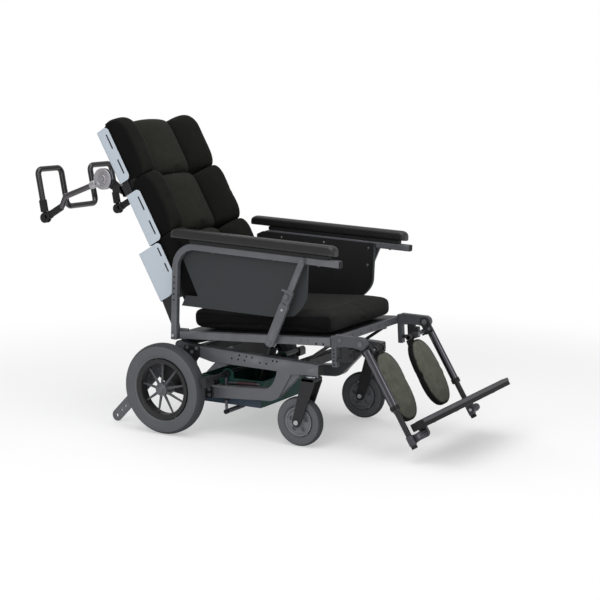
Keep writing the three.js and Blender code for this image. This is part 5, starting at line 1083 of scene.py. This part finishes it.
# Legrest hangers
# Grey castings bolted into the front ends of the seat rails: a slotted post, and a block with a round nose
# that holds the legrest's pivot pin.
hanger_grey = finish("hanger_grey", screen(74, 75, 80), 0.45, metallic=0.25, lit_worn_edge=screen(140, 141, 146),
                     bump=0.2)
nose_y, nose_z, nose_radius = -720.0, 35.0, 20.0
for name, hand in sides:
    inner, outer = hand * 230, hand * 250
    nose = np.vstack([[(-628, 22), (-628, 62), (nose_y, nose_z + nose_radius)],
                      arc(nose_y, nose_z, nose_radius, 90, 270), [(-691, 22)]])
    post = block((inner, outer), (-630, -611.3), (-45, 58), 3, 1.5)
    slots = [rod((hand * 246, -620.6, z), (hand * 254, -620.6, z), 4, 0.1, 20) for z in range(-36, 13, 12)]
    parts = [
        (cut(post, *slots), hanger_grey), (slab(nose, inner, outer, 2.0), hanger_grey),
        (block((inner, outer), (-675, -650), (-27, 25), 3, 1.5), black_paint),
        (block((inner, outer), (-653, -627), (-27, -16), 2, 1.2), black_paint),
        (block((inner, outer), (-691, -672), (-23, 15), 3, 1.5), black_paint),
        (rod((hand * 232, nose_y, nose_z), (hand * 219.2, nose_y, nose_z), 5.9), steel),
        (bolt_head((hand * 250, nose_y, nose_z), (hand, 0, 0), 8, 4), zinc),
        (bolt_head((hand * 250, -646, 45), (hand, 0, 0), 5.5, 3.5), zinc),
        (rod((hand * 249, -682, -4), (hand * 254, -682, -4), 6, 1.5), black_plastic),
    ]
    piece("hanger_casting_" + name, parts, seat_place, "seat", "black_paint", "legrest_hanger_" + name)

# Legrest tubes
# Dark chromed steel sleeves hang from a head plate on the pivot pin, and the footrest's black tube slides up
# inside. A small screw through the collar at the foot of each sleeve holds it.
leg_place = leaned(-0.520701, 0.37013, 30.5)
dark_chrome = finish("dark_chrome", screen(92, 92, 97), 0.1, metallic=1.0, edge_wear_and_light=0.2, bump=0.03, mottle=0.05)
leg_x = 235.0


def ribbed(start, end, radius, depth, ribs, count=96):
    """A knob with ribs along it: a bar whose radius is r + d cos(n t), drawn in at both rims."""
    start, end = np.asarray(start, float), np.asarray(end, float)
    axis = unit(end - start)
    side = unit(np.cross(axis, (0, 0, 1) if abs(axis[2]) < 0.9 else (0, 1, 0)))
    up = np.cross(axis, side)
    t = 2 * np.pi * np.arange(count) / count
    rim = np.column_stack([2 * (1 - np.cos(rim_turn)), 1 - 2 * (1 - np.sin(rim_turn)) / radius])
    length = np.linalg.norm(end - start)
    rows = np.vstack([rim, np.column_stack([length - rim[::-1, 0], rim[::-1, 1]])])
    size = (radius - depth + depth * np.cos(ribs * t))[None] * rows[:, 1:]
    spoke = size[..., None] * (np.cos(t)[:, None] * side + np.sin(t)[:, None] * up)
    return skin(start + rows[:, :1, None] * axis + spoke)


head_outline = np.vstack([arc(0, 0, 17, 0, 180), [(-17, -43), (17, -43)]])
sleeve_section = rounded([(26, 2), (26, 13), (240, 13), (240, 10.1), (85, 10.1), (85, 2)], 0.9, 3)
collar_section = rounded([(222, 13.1), (222, 15.2), (238, 15.2), (238, 13.1)], 0.8, 3)
for name, hand in sides:
    x = hand * leg_x
    plate = cut(slab(head_outline, hand * 222.5, hand * 229.5, 1.0),
                rod((hand * 218, 0, 0), (hand * 234, 0, 0), 6.6, 0.1, 28))
    sleeve, collar = (turned(section, (x, 0, 0), (0, 0, -1), 40, loop=True)
                      for section in (sleeve_section, collar_section))
    parts = [
        (plate, black_paint), (sleeve, dark_chrome), (collar, black_plastic),
        (rod((x + hand * 12, 0, -230), (x + hand * 22, 0, -230), 7, 1.5, 24), black_plastic),
        (bolt_head((hand * 222.5, 0, 0), (-hand, 0, 0), 8, 4), zinc),
    ]
    piece("legrest_sleeve_" + name, parts, leg_place, "legrest", "bright_steel", "legrest_tube_" + name)

# Footrest tubes and clamps
# A black tube from each sleeve ends in a collar with a fluted clamp barrel, whose pin carries the footplate's
# hinge lug.
clamp_y, clamp_z = -30.0, -343.0
clamp_grey = finish("clamp_grey", screen(66, 66, 72), 0.4, metallic=0.5, lit_worn_edge=screen(130, 130, 134), bump=0.25)
for name, hand in sides:
    x = hand * leg_x
    web = np.vstack([[(0, -331)], arc(clamp_y, clamp_z, 12.5, 90, 270), [(0, -360)]])
    parts = [
        (rod((x, 0, -150), (x, 0, -373), 9.4, 1.5), black_paint),
        (rod((x, 0, -329), (x, 0, -362), 12.5, 2.0), clamp_grey),
        (slab(web, hand * 221, hand * 229, 1.0), clamp_grey),
        (ribbed((hand * 192, clamp_y, clamp_z), (hand * 221.5, clamp_y, clamp_z), 14, 1.2, 10), clamp_grey),
        (rod((hand * 190, clamp_y, clamp_z), (hand * 196, clamp_y, clamp_z), 12, 1.5), black_plastic),
        (rod((hand * 174, clamp_y, clamp_z), (hand * 194, clamp_y, clamp_z), 5.9), steel),
        (bolt_head((hand * 228.5, clamp_y, clamp_z), (hand, 0, 0), 6, 4), zinc),
        (ribbed((x, 0, -352), (x, 0, -372.5), 10.4, 0.5, 12), black_plastic),
    ]
    piece("footrest_clamp_" + name, parts, leg_place, "footrest", "black_paint", "footrest_tube_" + name)

# Footplate
# One broad black plastic plate across both tubes, with round front corners and grip ribs on top. A thin grey
# strip round its front edge is painted sheen. Two lugs below it hinge on the clamps' pins.
plate_top, plate_thick = -298.0, 27.0
rib_width, rib_sunk, rib_pitch = 5.0, 2.0, 11.0
sheen_strip_grey = finish("sheen_strip_grey", screen(72, 72, 76), 0.5, grain=500.0, bump=0.3)
plate_plan = rounded([(-221, -11), (-221, -70), (-240, -70), (-240, -190), (240, -190), (240, -70), (221, -70),
                      (221, -11)], [6, 4, 6, 36, 36, 6, 4, 6], 9)
deck = slab(plate_plan, plate_top - plate_thick, plate_top - 1.2, 2.5, 2)
parts = [(deck, black_plastic)]
for y in np.arange(-178, -24, rib_pitch):
    half = 212 if y > -150 else 205
    rib = [(y, plate_top - rib_sunk), (y + rib_width, plate_top - rib_sunk), (y + rib_width, plate_top),
           (y, plate_top)]
    parts.append((slab(rounded(rib, 0.7, 3), -half, half, 0.8), black_plastic))
front_edge = rounded([(-240.4, -76), (-240.4, -190.4), (240.4, -190.4), (240.4, -76)], [1, 36, 36, 1], 14,
                     closed=False)
# The grey strip along the front edge is painted sheen
sheen_strip = np.column_stack([front_edge, np.full(len(front_edge), plate_top - 8)])
sheen_strip_section = rounded([(-5.5, -1.2), (5.5, -1.2), (5.5, 1.2), (-5.5, 1.2)], 0.8, 3)
parts.append((swept(sheen_strip, sheen_strip_section, (0, 0, 1), 0.5), sheen_strip_grey))
for _, hand in sides:
    lug = np.vstack([[(-16, -322)], [(-44, -322)], arc(clamp_y, clamp_z, 14, 180, 360)])
    hole = rod((hand * 170, clamp_y, clamp_z), (hand * 194, clamp_y, clamp_z), 6.6, 0.1, 28)
    parts.append((cut(slab(lug, hand * 175.7, hand * 189.7, 1.0), hole), clamp_grey))
    for y in (-150, -60):
        parts.append((rod((hand * 150, y, -326.3), (hand * 150, y, -324), 6, 1.0), steel))
piece("ribbed_footplate", parts, leg_place, "footplate", "black_plastic", "footplate")

# Calf pad brackets
# A short cross rod on each legrest sleeve, with two collars, is the hinge of the calf pad.
pivot_y, pivot_z = 16.0, -30.0
for name, hand in sides:
    parts = [(rod((hand * 94, pivot_y, pivot_z), (hand * 219.2, pivot_y, pivot_z), 5.9), steel)]
    for x in (94, 142.3):
        collar = rod((hand * x, pivot_y, pivot_z), (hand * (x + 12), pivot_y, pivot_z), 11, 1.2)
        parts.append((collar, black_paint))
    parts.append((block((hand * 216.7, hand * 221.7), (-17, 27), (-41, -19), 3, 1.0), black_paint))
    parts.append((bolt_head((hand * 217, -8, -30), (-hand, 0, 0), 5, 3.5), zinc))
    piece("calf_hinge_" + name, parts, leg_place, "legrest", "black_paint", "calf_bracket_" + name)

# Calf pads
# Long foam pads with round ends on a black back plate. Their faces are olive grey cloth, and a black border is
# sewn round their sides. Each swings a little on its hinge.
calf_place = leaned(-0.522141, 0.336161, 29.0)
calf_x, calf_drop, calf_length, calf_half, calf_face, calf_back = 130.0, 14.0, 242.0, 83.0, -14.0, 22.0
calf_cloth = cloth("calf_cover", screen(90, 92, 83), screen(15, 15, 16), "border", 3000.0)


def calf_pad(hand):
    """A pad whose rings, from top to bottom, are superellipses: half width w (0.12 + 0.88 e) with the round
    end e = sqrt(1 - (1 - d / r)^2), thinner by a like rule at the ends. It starts 3 mm small all round."""
    small = 3.0
    share = (1 - np.cos(np.pi * np.linspace(0, 1, 30))) / 2
    inset = np.maximum(np.minimum(share, 1 - share) * (calf_length - 2 * small), 0.4)
    wide = (calf_half - small) * (0.12 + 0.88 * np.sqrt(1 - (1 - np.minimum(1, inset / calf_half)) ** 2))
    deep = 14 * (0.5 + 0.5 * np.sqrt(1 - (1 - np.minimum(1, inset / 16)) ** 2))
    turn = 2 * np.pi * np.arange(48) / 48
    across, out = (np.sign(f(turn)) * np.abs(f(turn)) ** 0.62 for f in (np.cos, np.sin))
    z = -calf_drop - small - (calf_length - 2 * small) * share
    x = hand * calf_x + wide[:, None] * across
    y = 4 + deep[:, None] * out
    return skin(np.stack([x, y, np.broadcast_to(z[:, None], x.shape)], -1))


def calf_shape(points):
    """The blown pad, stretched to its space, with a seam sunk where the face meets the border."""
    hand = np.sign(points[:, 0].mean())
    middle, foot, seam_sunk = hand * calf_x, -calf_drop - calf_length, 1.6
    low, high = (middle - calf_half, calf_face, foot), (middle + calf_half, calf_back, -calf_drop)
    x, y, z = fitted(points, low, high).T
    seam = np.exp(-((y + 6) / 1.8) ** 2)
    inwards = unit(np.column_stack([x - middle, 0 * y, z - (foot - calf_drop) / 2]) + 1e-9)
    x = x - seam_sunk * seam * inwards[:, 0]
    z = z - seam_sunk * seam * inwards[:, 2]
    share = ramp(y, -7.5, -5)
    return np.column_stack([x, y, z]), share


for name, hand in sides:
    stuffed("calf_pad_cover_" + name, calf_pad(hand), calf_place, 4.0, 3.0, 6.0, calf_cloth, "calf_pad_" + name,
            "calf_pad_" + name, calf_shape)
    x = hand * calf_x
    plate = rounded([(x - 56, -222), (x + 56, -222), (x + 56, -48), (x - 56, -48)], 46, 8)
    hinge = [
        (block((x - hand * 13, x + hand * 13), (17, 27), (-120, -12), 4, 1.5), black_plastic),
        (eye((x, 0, 0), 11, 6.6, 11.6), black_plastic),
        (block((x - 11.5, x + 11.5), (7, 27), (-25, -6), 3, 1.2), black_plastic),
        (slab(plate, 19, 23, 1.0, 1), black_plastic),
    ]
    for z in (-60, -105):
        hinge.append((bolt_head((x, 27, z), (0, 1, 0), 4.5, 3), zinc))
    piece("calf_pad_plate_" + name, hinge, calf_place, "calf_pad_" + name, "black_plastic")

# Back canes
# Flat black steel uprights on the back's pivots, inside the wings of the shells. Near the top each carries a
# round plate for the hub of the push handle.
back_place = leaned(0.208729, 0.341, 29.2)
hub_y, hub_z = 29.0, 615.0
cane_outline = rounded([(-70, 750), (-70, 134), (-48, 131), (0, -4), (34, -4), (17, 25), (10, 131), (-48, 141),
                        (-48, 750)], [6, 4, 8, 6, 8, 4, 4, 4, 6], 5)
hub_plate = np.vstack([[(-38, 514), (-38, 554), (-26, 554)], arc(hub_y, hub_z, 26, 180, -45, 24),
                       [(-26, 514)]])
for name, hand in sides:
    bore = rod((hand * 205, 0, 0), (hand * 230, 0, 0), 6.6, 0.1, 28)
    parts = [
        (cut(slab(cane_outline, hand * 212, hand * 224, 2.0), bore), black_paint),
        (block((hand * 212, hand * 224), (-50, -26), (514, 554), 2, 1.0), black_paint),
        (block((hand * 196, hand * 213), (-98, -60), (528, 572), 3, 1.0), black_plastic),
        (block((hand * 198, hand * 224), (-38, -26), (514, 554), 2, 1.0), black_paint),
        (slab(hub_plate, hand * 198, hand * 202, 0.6), black_paint),
        (rod((hand * 198, hub_y, hub_z), (hand * 224, hub_y, hub_z), 7.9, 1.0), steel),
        (bolt_head((hand * 198, hub_y, hub_z), (-hand, 0, 0), 9, 5), zinc),
    ]
    for y, z in ((-33, 524), (-33, 544)):
        parts.append((bolt_head((hand * 198, y, z), (-hand, 0, 0), 4, 3), zinc))
    piece("back_upright_" + name, parts, back_place, "back", "black_paint", "back_cane_" + name)

# Back shells
# Three pale blue grey shells, each pressed from one sheet into a U, hold the three rows of the back. Two slots
# near the front edge of each wing take the straps, and screws fix the wings to the canes.
shell_blue = finish("shell_blue_grey", screen(186, 196, 206), 0.42, grain=420.0, bump=0.12, mottle=0.05,
                    mottle_scale=5.0, lit_worn_edge=screen(225, 230, 235), edge_wear_and_light=0.3)
shells = {"upper": (558, 761, -35, 14, -91, 0, 0), "middle": (315, 510, -41, 8, -104, 0, 0),
          "lower": (126, 310, 19, 14, -88, 41, 60)}
shell_half, sheet, wing_corner = 230.0, 3.0, 16.0
slot_shares = ((0.12, 0.4), (0.6, 0.88))
for name, (bottom, top, rear, turn, front, cut_y, cut_z) in shells.items():
    # The front edge at each height: a round corner at both ends, and a slope where the lower one is cut back
    z = bottom + (top - bottom) * (1 - np.cos(np.pi * np.linspace(0, 1, 60))) / 2
    inset = np.minimum(np.minimum(top - z, z - bottom), wing_corner)
    edge = front + wing_corner - np.sqrt(wing_corner ** 2 - (wing_corner - inset) ** 2)
    edge += cut_y * np.clip((bottom + cut_z - z) / max(cut_z, 1), 0, 1)
    rings = []
    for inwards in (0.0, sheet):
        bend = arc(0, 0, turn - inwards, 0, 90, 9)
        corner = np.column_stack([shell_half - turn + bend[:, 0], rear - turn + bend[:, 1]])
        half = np.concatenate([np.linspace([shell_half - inwards, 0], [shell_half - inwards, 1], 8), corner])
        path = np.broadcast_to(half, (len(z), *half.shape)).copy()
        path[:, :8, 1] = edge[:, None] + np.linspace(0, 1, 8) * (rear - turn - edge[:, None])
        mirrored = path[:, ::-1] * (-1, 1)
        whole = np.concatenate([path, mirrored], 1)
        rings.append(whole if inwards == 0 else whole[:, ::-1])
    rings = np.concatenate(rings, 1)
    rings = np.concatenate([rings, np.broadcast_to(z[:, None, None], (*rings.shape[:2], 1))], 2)
    tools = []
    for _, hand in sides:
        for start, end in slot_shares:
            low, high = (bottom + cut_z + share * (top - bottom - cut_z) for share in (start, end))
            slot = [(front + 12, low), (front + 19, low), (front + 19, high), (front + 12, high)]
            tools.append(slab(rounded(slot, 3.4, 5), hand * 222, hand * 235, 0.1))
    parts = [(cut(skin(rings), *tools), shell_blue)]
    for _, hand in sides:
        for share in (0.2, 0.8):
            z = bottom + share * (top - bottom)
            parts.append((rod((hand * 224.3, -59, z), (hand * 227.6, -59, z), 8, 0.5), black_plastic))
    piece("back_shell_pressing_" + name, parts, back_place, "back", "shell_plastic", "back_shell_" + name)

# Back cushions
# Three rows of foam in woven covers: in each row a round centre panel, a shade more olive, lies between two
# deep bolsters. The rows are pinched where they meet, and black cloth covers their sides.
row_half, seam_x, seam_y, crown_y, wing_y, crest_x = 226.0, 118.0, -84.0, -132.0, -70.4, 187.0
rear_y, border_x = -44.8, 221.0
rows = {"lower": (75, 324.7, -192, -135, 0.24, 0.24), "middle": (325.3, 548.7, -186, -133, 0.24, 0.24),
        "upper": (549.3, 778, -176, -133, 0.24, 0.62)}
back_cloth = cloth("back_cover", screen(37, 37, 32), screen(10, 10, 11), "border")


def front_depth(x, crest, edge):
    """Depth of a row's face across: half an ellipse over the centre panel, then up a quarter sine to the crest
    of the bolster and down a parabola to its outer edge."""
    size = np.abs(x)
    centre = seam_y + (crown_y - seam_y) * np.sqrt(np.clip(1 - 0.98 * (size / seam_x) ** 2, 0, 1))
    share = np.clip((size - seam_x) / (row_half - seam_x), 0, 1)
    top = (crest_x - seam_x) / (row_half - seam_x)
    rise = np.where(share < top, np.sin(np.pi / 2 * np.minimum(share / top, 1)), 1)
    fall = np.where(share > top, ((share - top) / (1 - top)) ** 2, 0)
    return np.where(size < seam_x, centre, seam_y + (crest - seam_y) * rise + (edge - crest) * fall)


def row_shape(bottom, top, crest, edge, low_pinch, high_pinch):
    """A row's rings from bottom to top, its depth drawn in at both ends by 1 - p (1 - e)."""
    share = (1 - np.cos(np.pi * np.linspace(0, 1, 26))) / 2
    x = np.linspace(-(row_half - 3), row_half - 3, 64)
    depth = front_depth(x, crest, edge)
    pinch = np.where(share > 0.5, high_pinch, low_pinch)
    inset = np.maximum(np.minimum(share, 1 - share) * (top - bottom), 0.4)
    easing = 1 - pinch * (1 - np.sqrt(1 - (1 - np.minimum(1, inset / (46 * (1 + pinch)))) ** 2))
    z = bottom + 2 + (top - bottom - 4) * share
    y = wing_y + (depth[None] - wing_y) * easing[:, None] + 3
    face = np.stack([np.broadcast_to(x, y.shape), y, np.broadcast_to(z[:, None], y.shape)], -1)
    rear = np.array([(row_half - 3, wing_y), (208, wing_y), (206, -46), (-206, -46), (-208, wing_y),
                     (-(row_half - 3), wing_y)])
    rear = np.concatenate([np.broadcast_to(rear, (len(z), *rear.shape)),
                           np.broadcast_to(z[:, None, None], (len(z), len(rear), 1))], -1)
    return skin(np.concatenate([face, rear], 1))


for name, row in rows.items():
    bottom, top, crest = row[:3]

    def shaping(points, bottom=bottom, top=top, crest=crest):
        """The blown row, stretched to its space, with seams sunk beside the panel and round the sides."""
        x, y, z = fitted(points, (-row_half, crest, bottom), (row_half, rear_y, top)).T
        front = ramp(-y, 76, 92)
        seam = np.exp(-((np.abs(x) - seam_x) / 6.5) ** 2) * front
        y = y + 4 * seam
        border = np.exp(-((np.abs(x) - border_x) / 2.0) ** 2) * front
        y = y + 2.5 * border
        y = np.minimum(y, np.where(np.abs(x) > 209, wing_y, rear_y))
        share = ramp(np.abs(x), seam_x - 6, seam_x) * 0.6 + ramp(np.abs(x), 210, 218) * 0.4
        return np.column_stack([x, y, z]), share

    stuffed("back_cushion_cover_" + name, row_shape(*row), back_place, 5.5, 3.0, 9.0, back_cloth, "back",
            "back_cushion_" + name, shaping)

# Push handle arms
# Silver fluted hubs on the canes set the angle of two steel arms. Each arm runs into a black sleeve at the
# knuckle that carries the push bar.
silver = finish("silver_casting", screen(168, 166, 170), 0.36, metallic=0.75, bump=0.2, mottle=0.12)
gunmetal = finish("gunmetal", screen(92, 89, 92), 0.24, metallic=0.9, edge_wear_and_light=0.3, bump=0.05,
                  lit_worn_edge=screen(190, 188, 190))
arm_end = np.array([340.0, 617.0])
along = unit(arm_end - (hub_y, hub_z))
arm_length = np.linalg.norm(arm_end - (hub_y, hub_z))
handle_x, flute_pitch = 213.0, 30
bend_at, bend_rise, knee_at, bend_radius = 186.0, 24.0, 221.0, 16.0
hub_rim = [(202.4, 30), (202.4, 36.5), (203.6, 38), (209, 38), (210, 36), (213.5, 36), (214.5, 38),
           (219.5, 38), (221, 36.5), (221, 24), (219, 22), (219, 16), (221, 14), (221, 8.8), (202.4, 8.8)]


def arm_spot(x, reach, rise=0.0):
    """A place above the straight line from the hub to the knuckle, at a reach from the hub."""
    return x, hub_y + along[0] * reach, hub_z + along[1] * reach + rise


for name, hand in sides:
    x = hand * handle_x
    hub = turned([(hand * a, r) for a, r in hub_rim], (0, hub_y, hub_z), (1, 0, 0), 96, loop=True)
    strap = turned(rounded([(-3.4, 36.2), (-3.4, 38.2), (3.4, 38.2), (3.4, 36.2)], 0.4, 3),
                   (hand * 211.8, hub_y, hub_z), count=96, loop=True)
    route = rounded([arm_spot(x, 34), arm_spot(x, bend_at, bend_rise), arm_spot(x, knee_at),
                     arm_spot(x, arm_length - 30)], bend_radius, 8, closed=False)
    parts = [
        (hub, silver), (strap, black_plastic), (swept(route, circle(10.4, 40), (1, 0, 0), 1.0), gunmetal),
        (ribbed(arm_spot(x, arm_length - 88), arm_spot(x, arm_length - 30.5), 13, 0.5, 18), black_plastic),
        (rod(arm_spot(x, 35, 0.5), arm_spot(x, 62, 4.5), 13.5, 3.0, 40), silver),
    ]
    for turn in np.radians(np.arange(0, 360, flute_pitch)):
        spot = np.array([0, hub_y + 19 * np.cos(turn), hub_z + 19 * np.sin(turn)])
        parts.append((rod(spot + (hand * 217, 0, 0), spot + (hand * 220.6, 0, 0), 3.0, 0.6, 12), silver))
    piece("handle_arm_tube_" + name, parts, back_place, "handle", "bright_steel", "handle_arm_" + name)
    sleeve = ribbed(arm_spot(x, arm_length - 29.6), arm_spot(x, arm_length - 16), 15, 0.5, 18)
    parts = [(sleeve, black_plastic), (rod((x - 9, *arm_end), (x + 9, *arm_end), 4.9, 0.5), steel)]
    for side in (-1, 1):
        near, far = x + side * 4, x + side * 11
        parts.append((rod((near, *arm_end), (far, *arm_end), 19, 2.2, 48), black_plastic))
        parts.append((block((near, far), (310.8, 340), (609.5, 624.5), 2, 1.2), black_plastic))
        parts.append((rod((far - side, *arm_end), (far + side * 1.5, *arm_end), 8, 0.8, 32), black_plastic))
    piece("knuckle_" + name, parts, back_place, "handle", "black_plastic", "handle_knuckle_" + name)

# Push bar
# One bar bent into two upright grips joined low across the middle, in gloss black, with ribbed black sleeves
# over its two ends at the knuckles.
bar_place = leaned(0.806532, 0.713721, 10.3)
bar_black = finish("bar_black", screen(9, 9, 10), 0.14, coat=0.5, bump=0.06, lit_worn_edge=screen(120, 120, 122),
                   edge_wear_and_light=0.2)
grip_x, grip_top, bar_low, tongue_half = 84.0, 179.0, 32.0, 3.5
half_route = [(grip_x, 0, bar_low), (grip_x, 0, grip_top), (handle_x, 0, grip_top), (handle_x, 0, 21)]
route = rounded([(-x, y, z) for x, y, z in half_route[::-1]] + half_route, 22, 10, closed=False)
parts = [(swept(route, circle(10.9, 28), (0, 1, 0), 1.0), bar_black)]
for _, hand in sides:
    x = hand * handle_x
    inner, outer = x - tongue_half, x + tongue_half
    tongue = rod((inner, 0, 0), (outer, 0, 0), 14, 0.8, 40)
    hole = rod((x - 8, 0, 0), (x + 8, 0, 0), 5.6, 0.1, 28)
    parts += [
        (cut(tongue, hole), black_plastic),
        (block((inner, outer), (-7, 7), (9, 24), 1.5, 0.6), black_plastic),
        (ribbed((x, 0, 22), (x, 0, 66), 14.5, 0.5, 18), black_plastic),
    ]
piece("bent_push_bar", parts, bar_place, "push_bar", "black_plastic", "push_bar")

# The box of every shown piece of the chair, the floor left out
low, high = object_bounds()
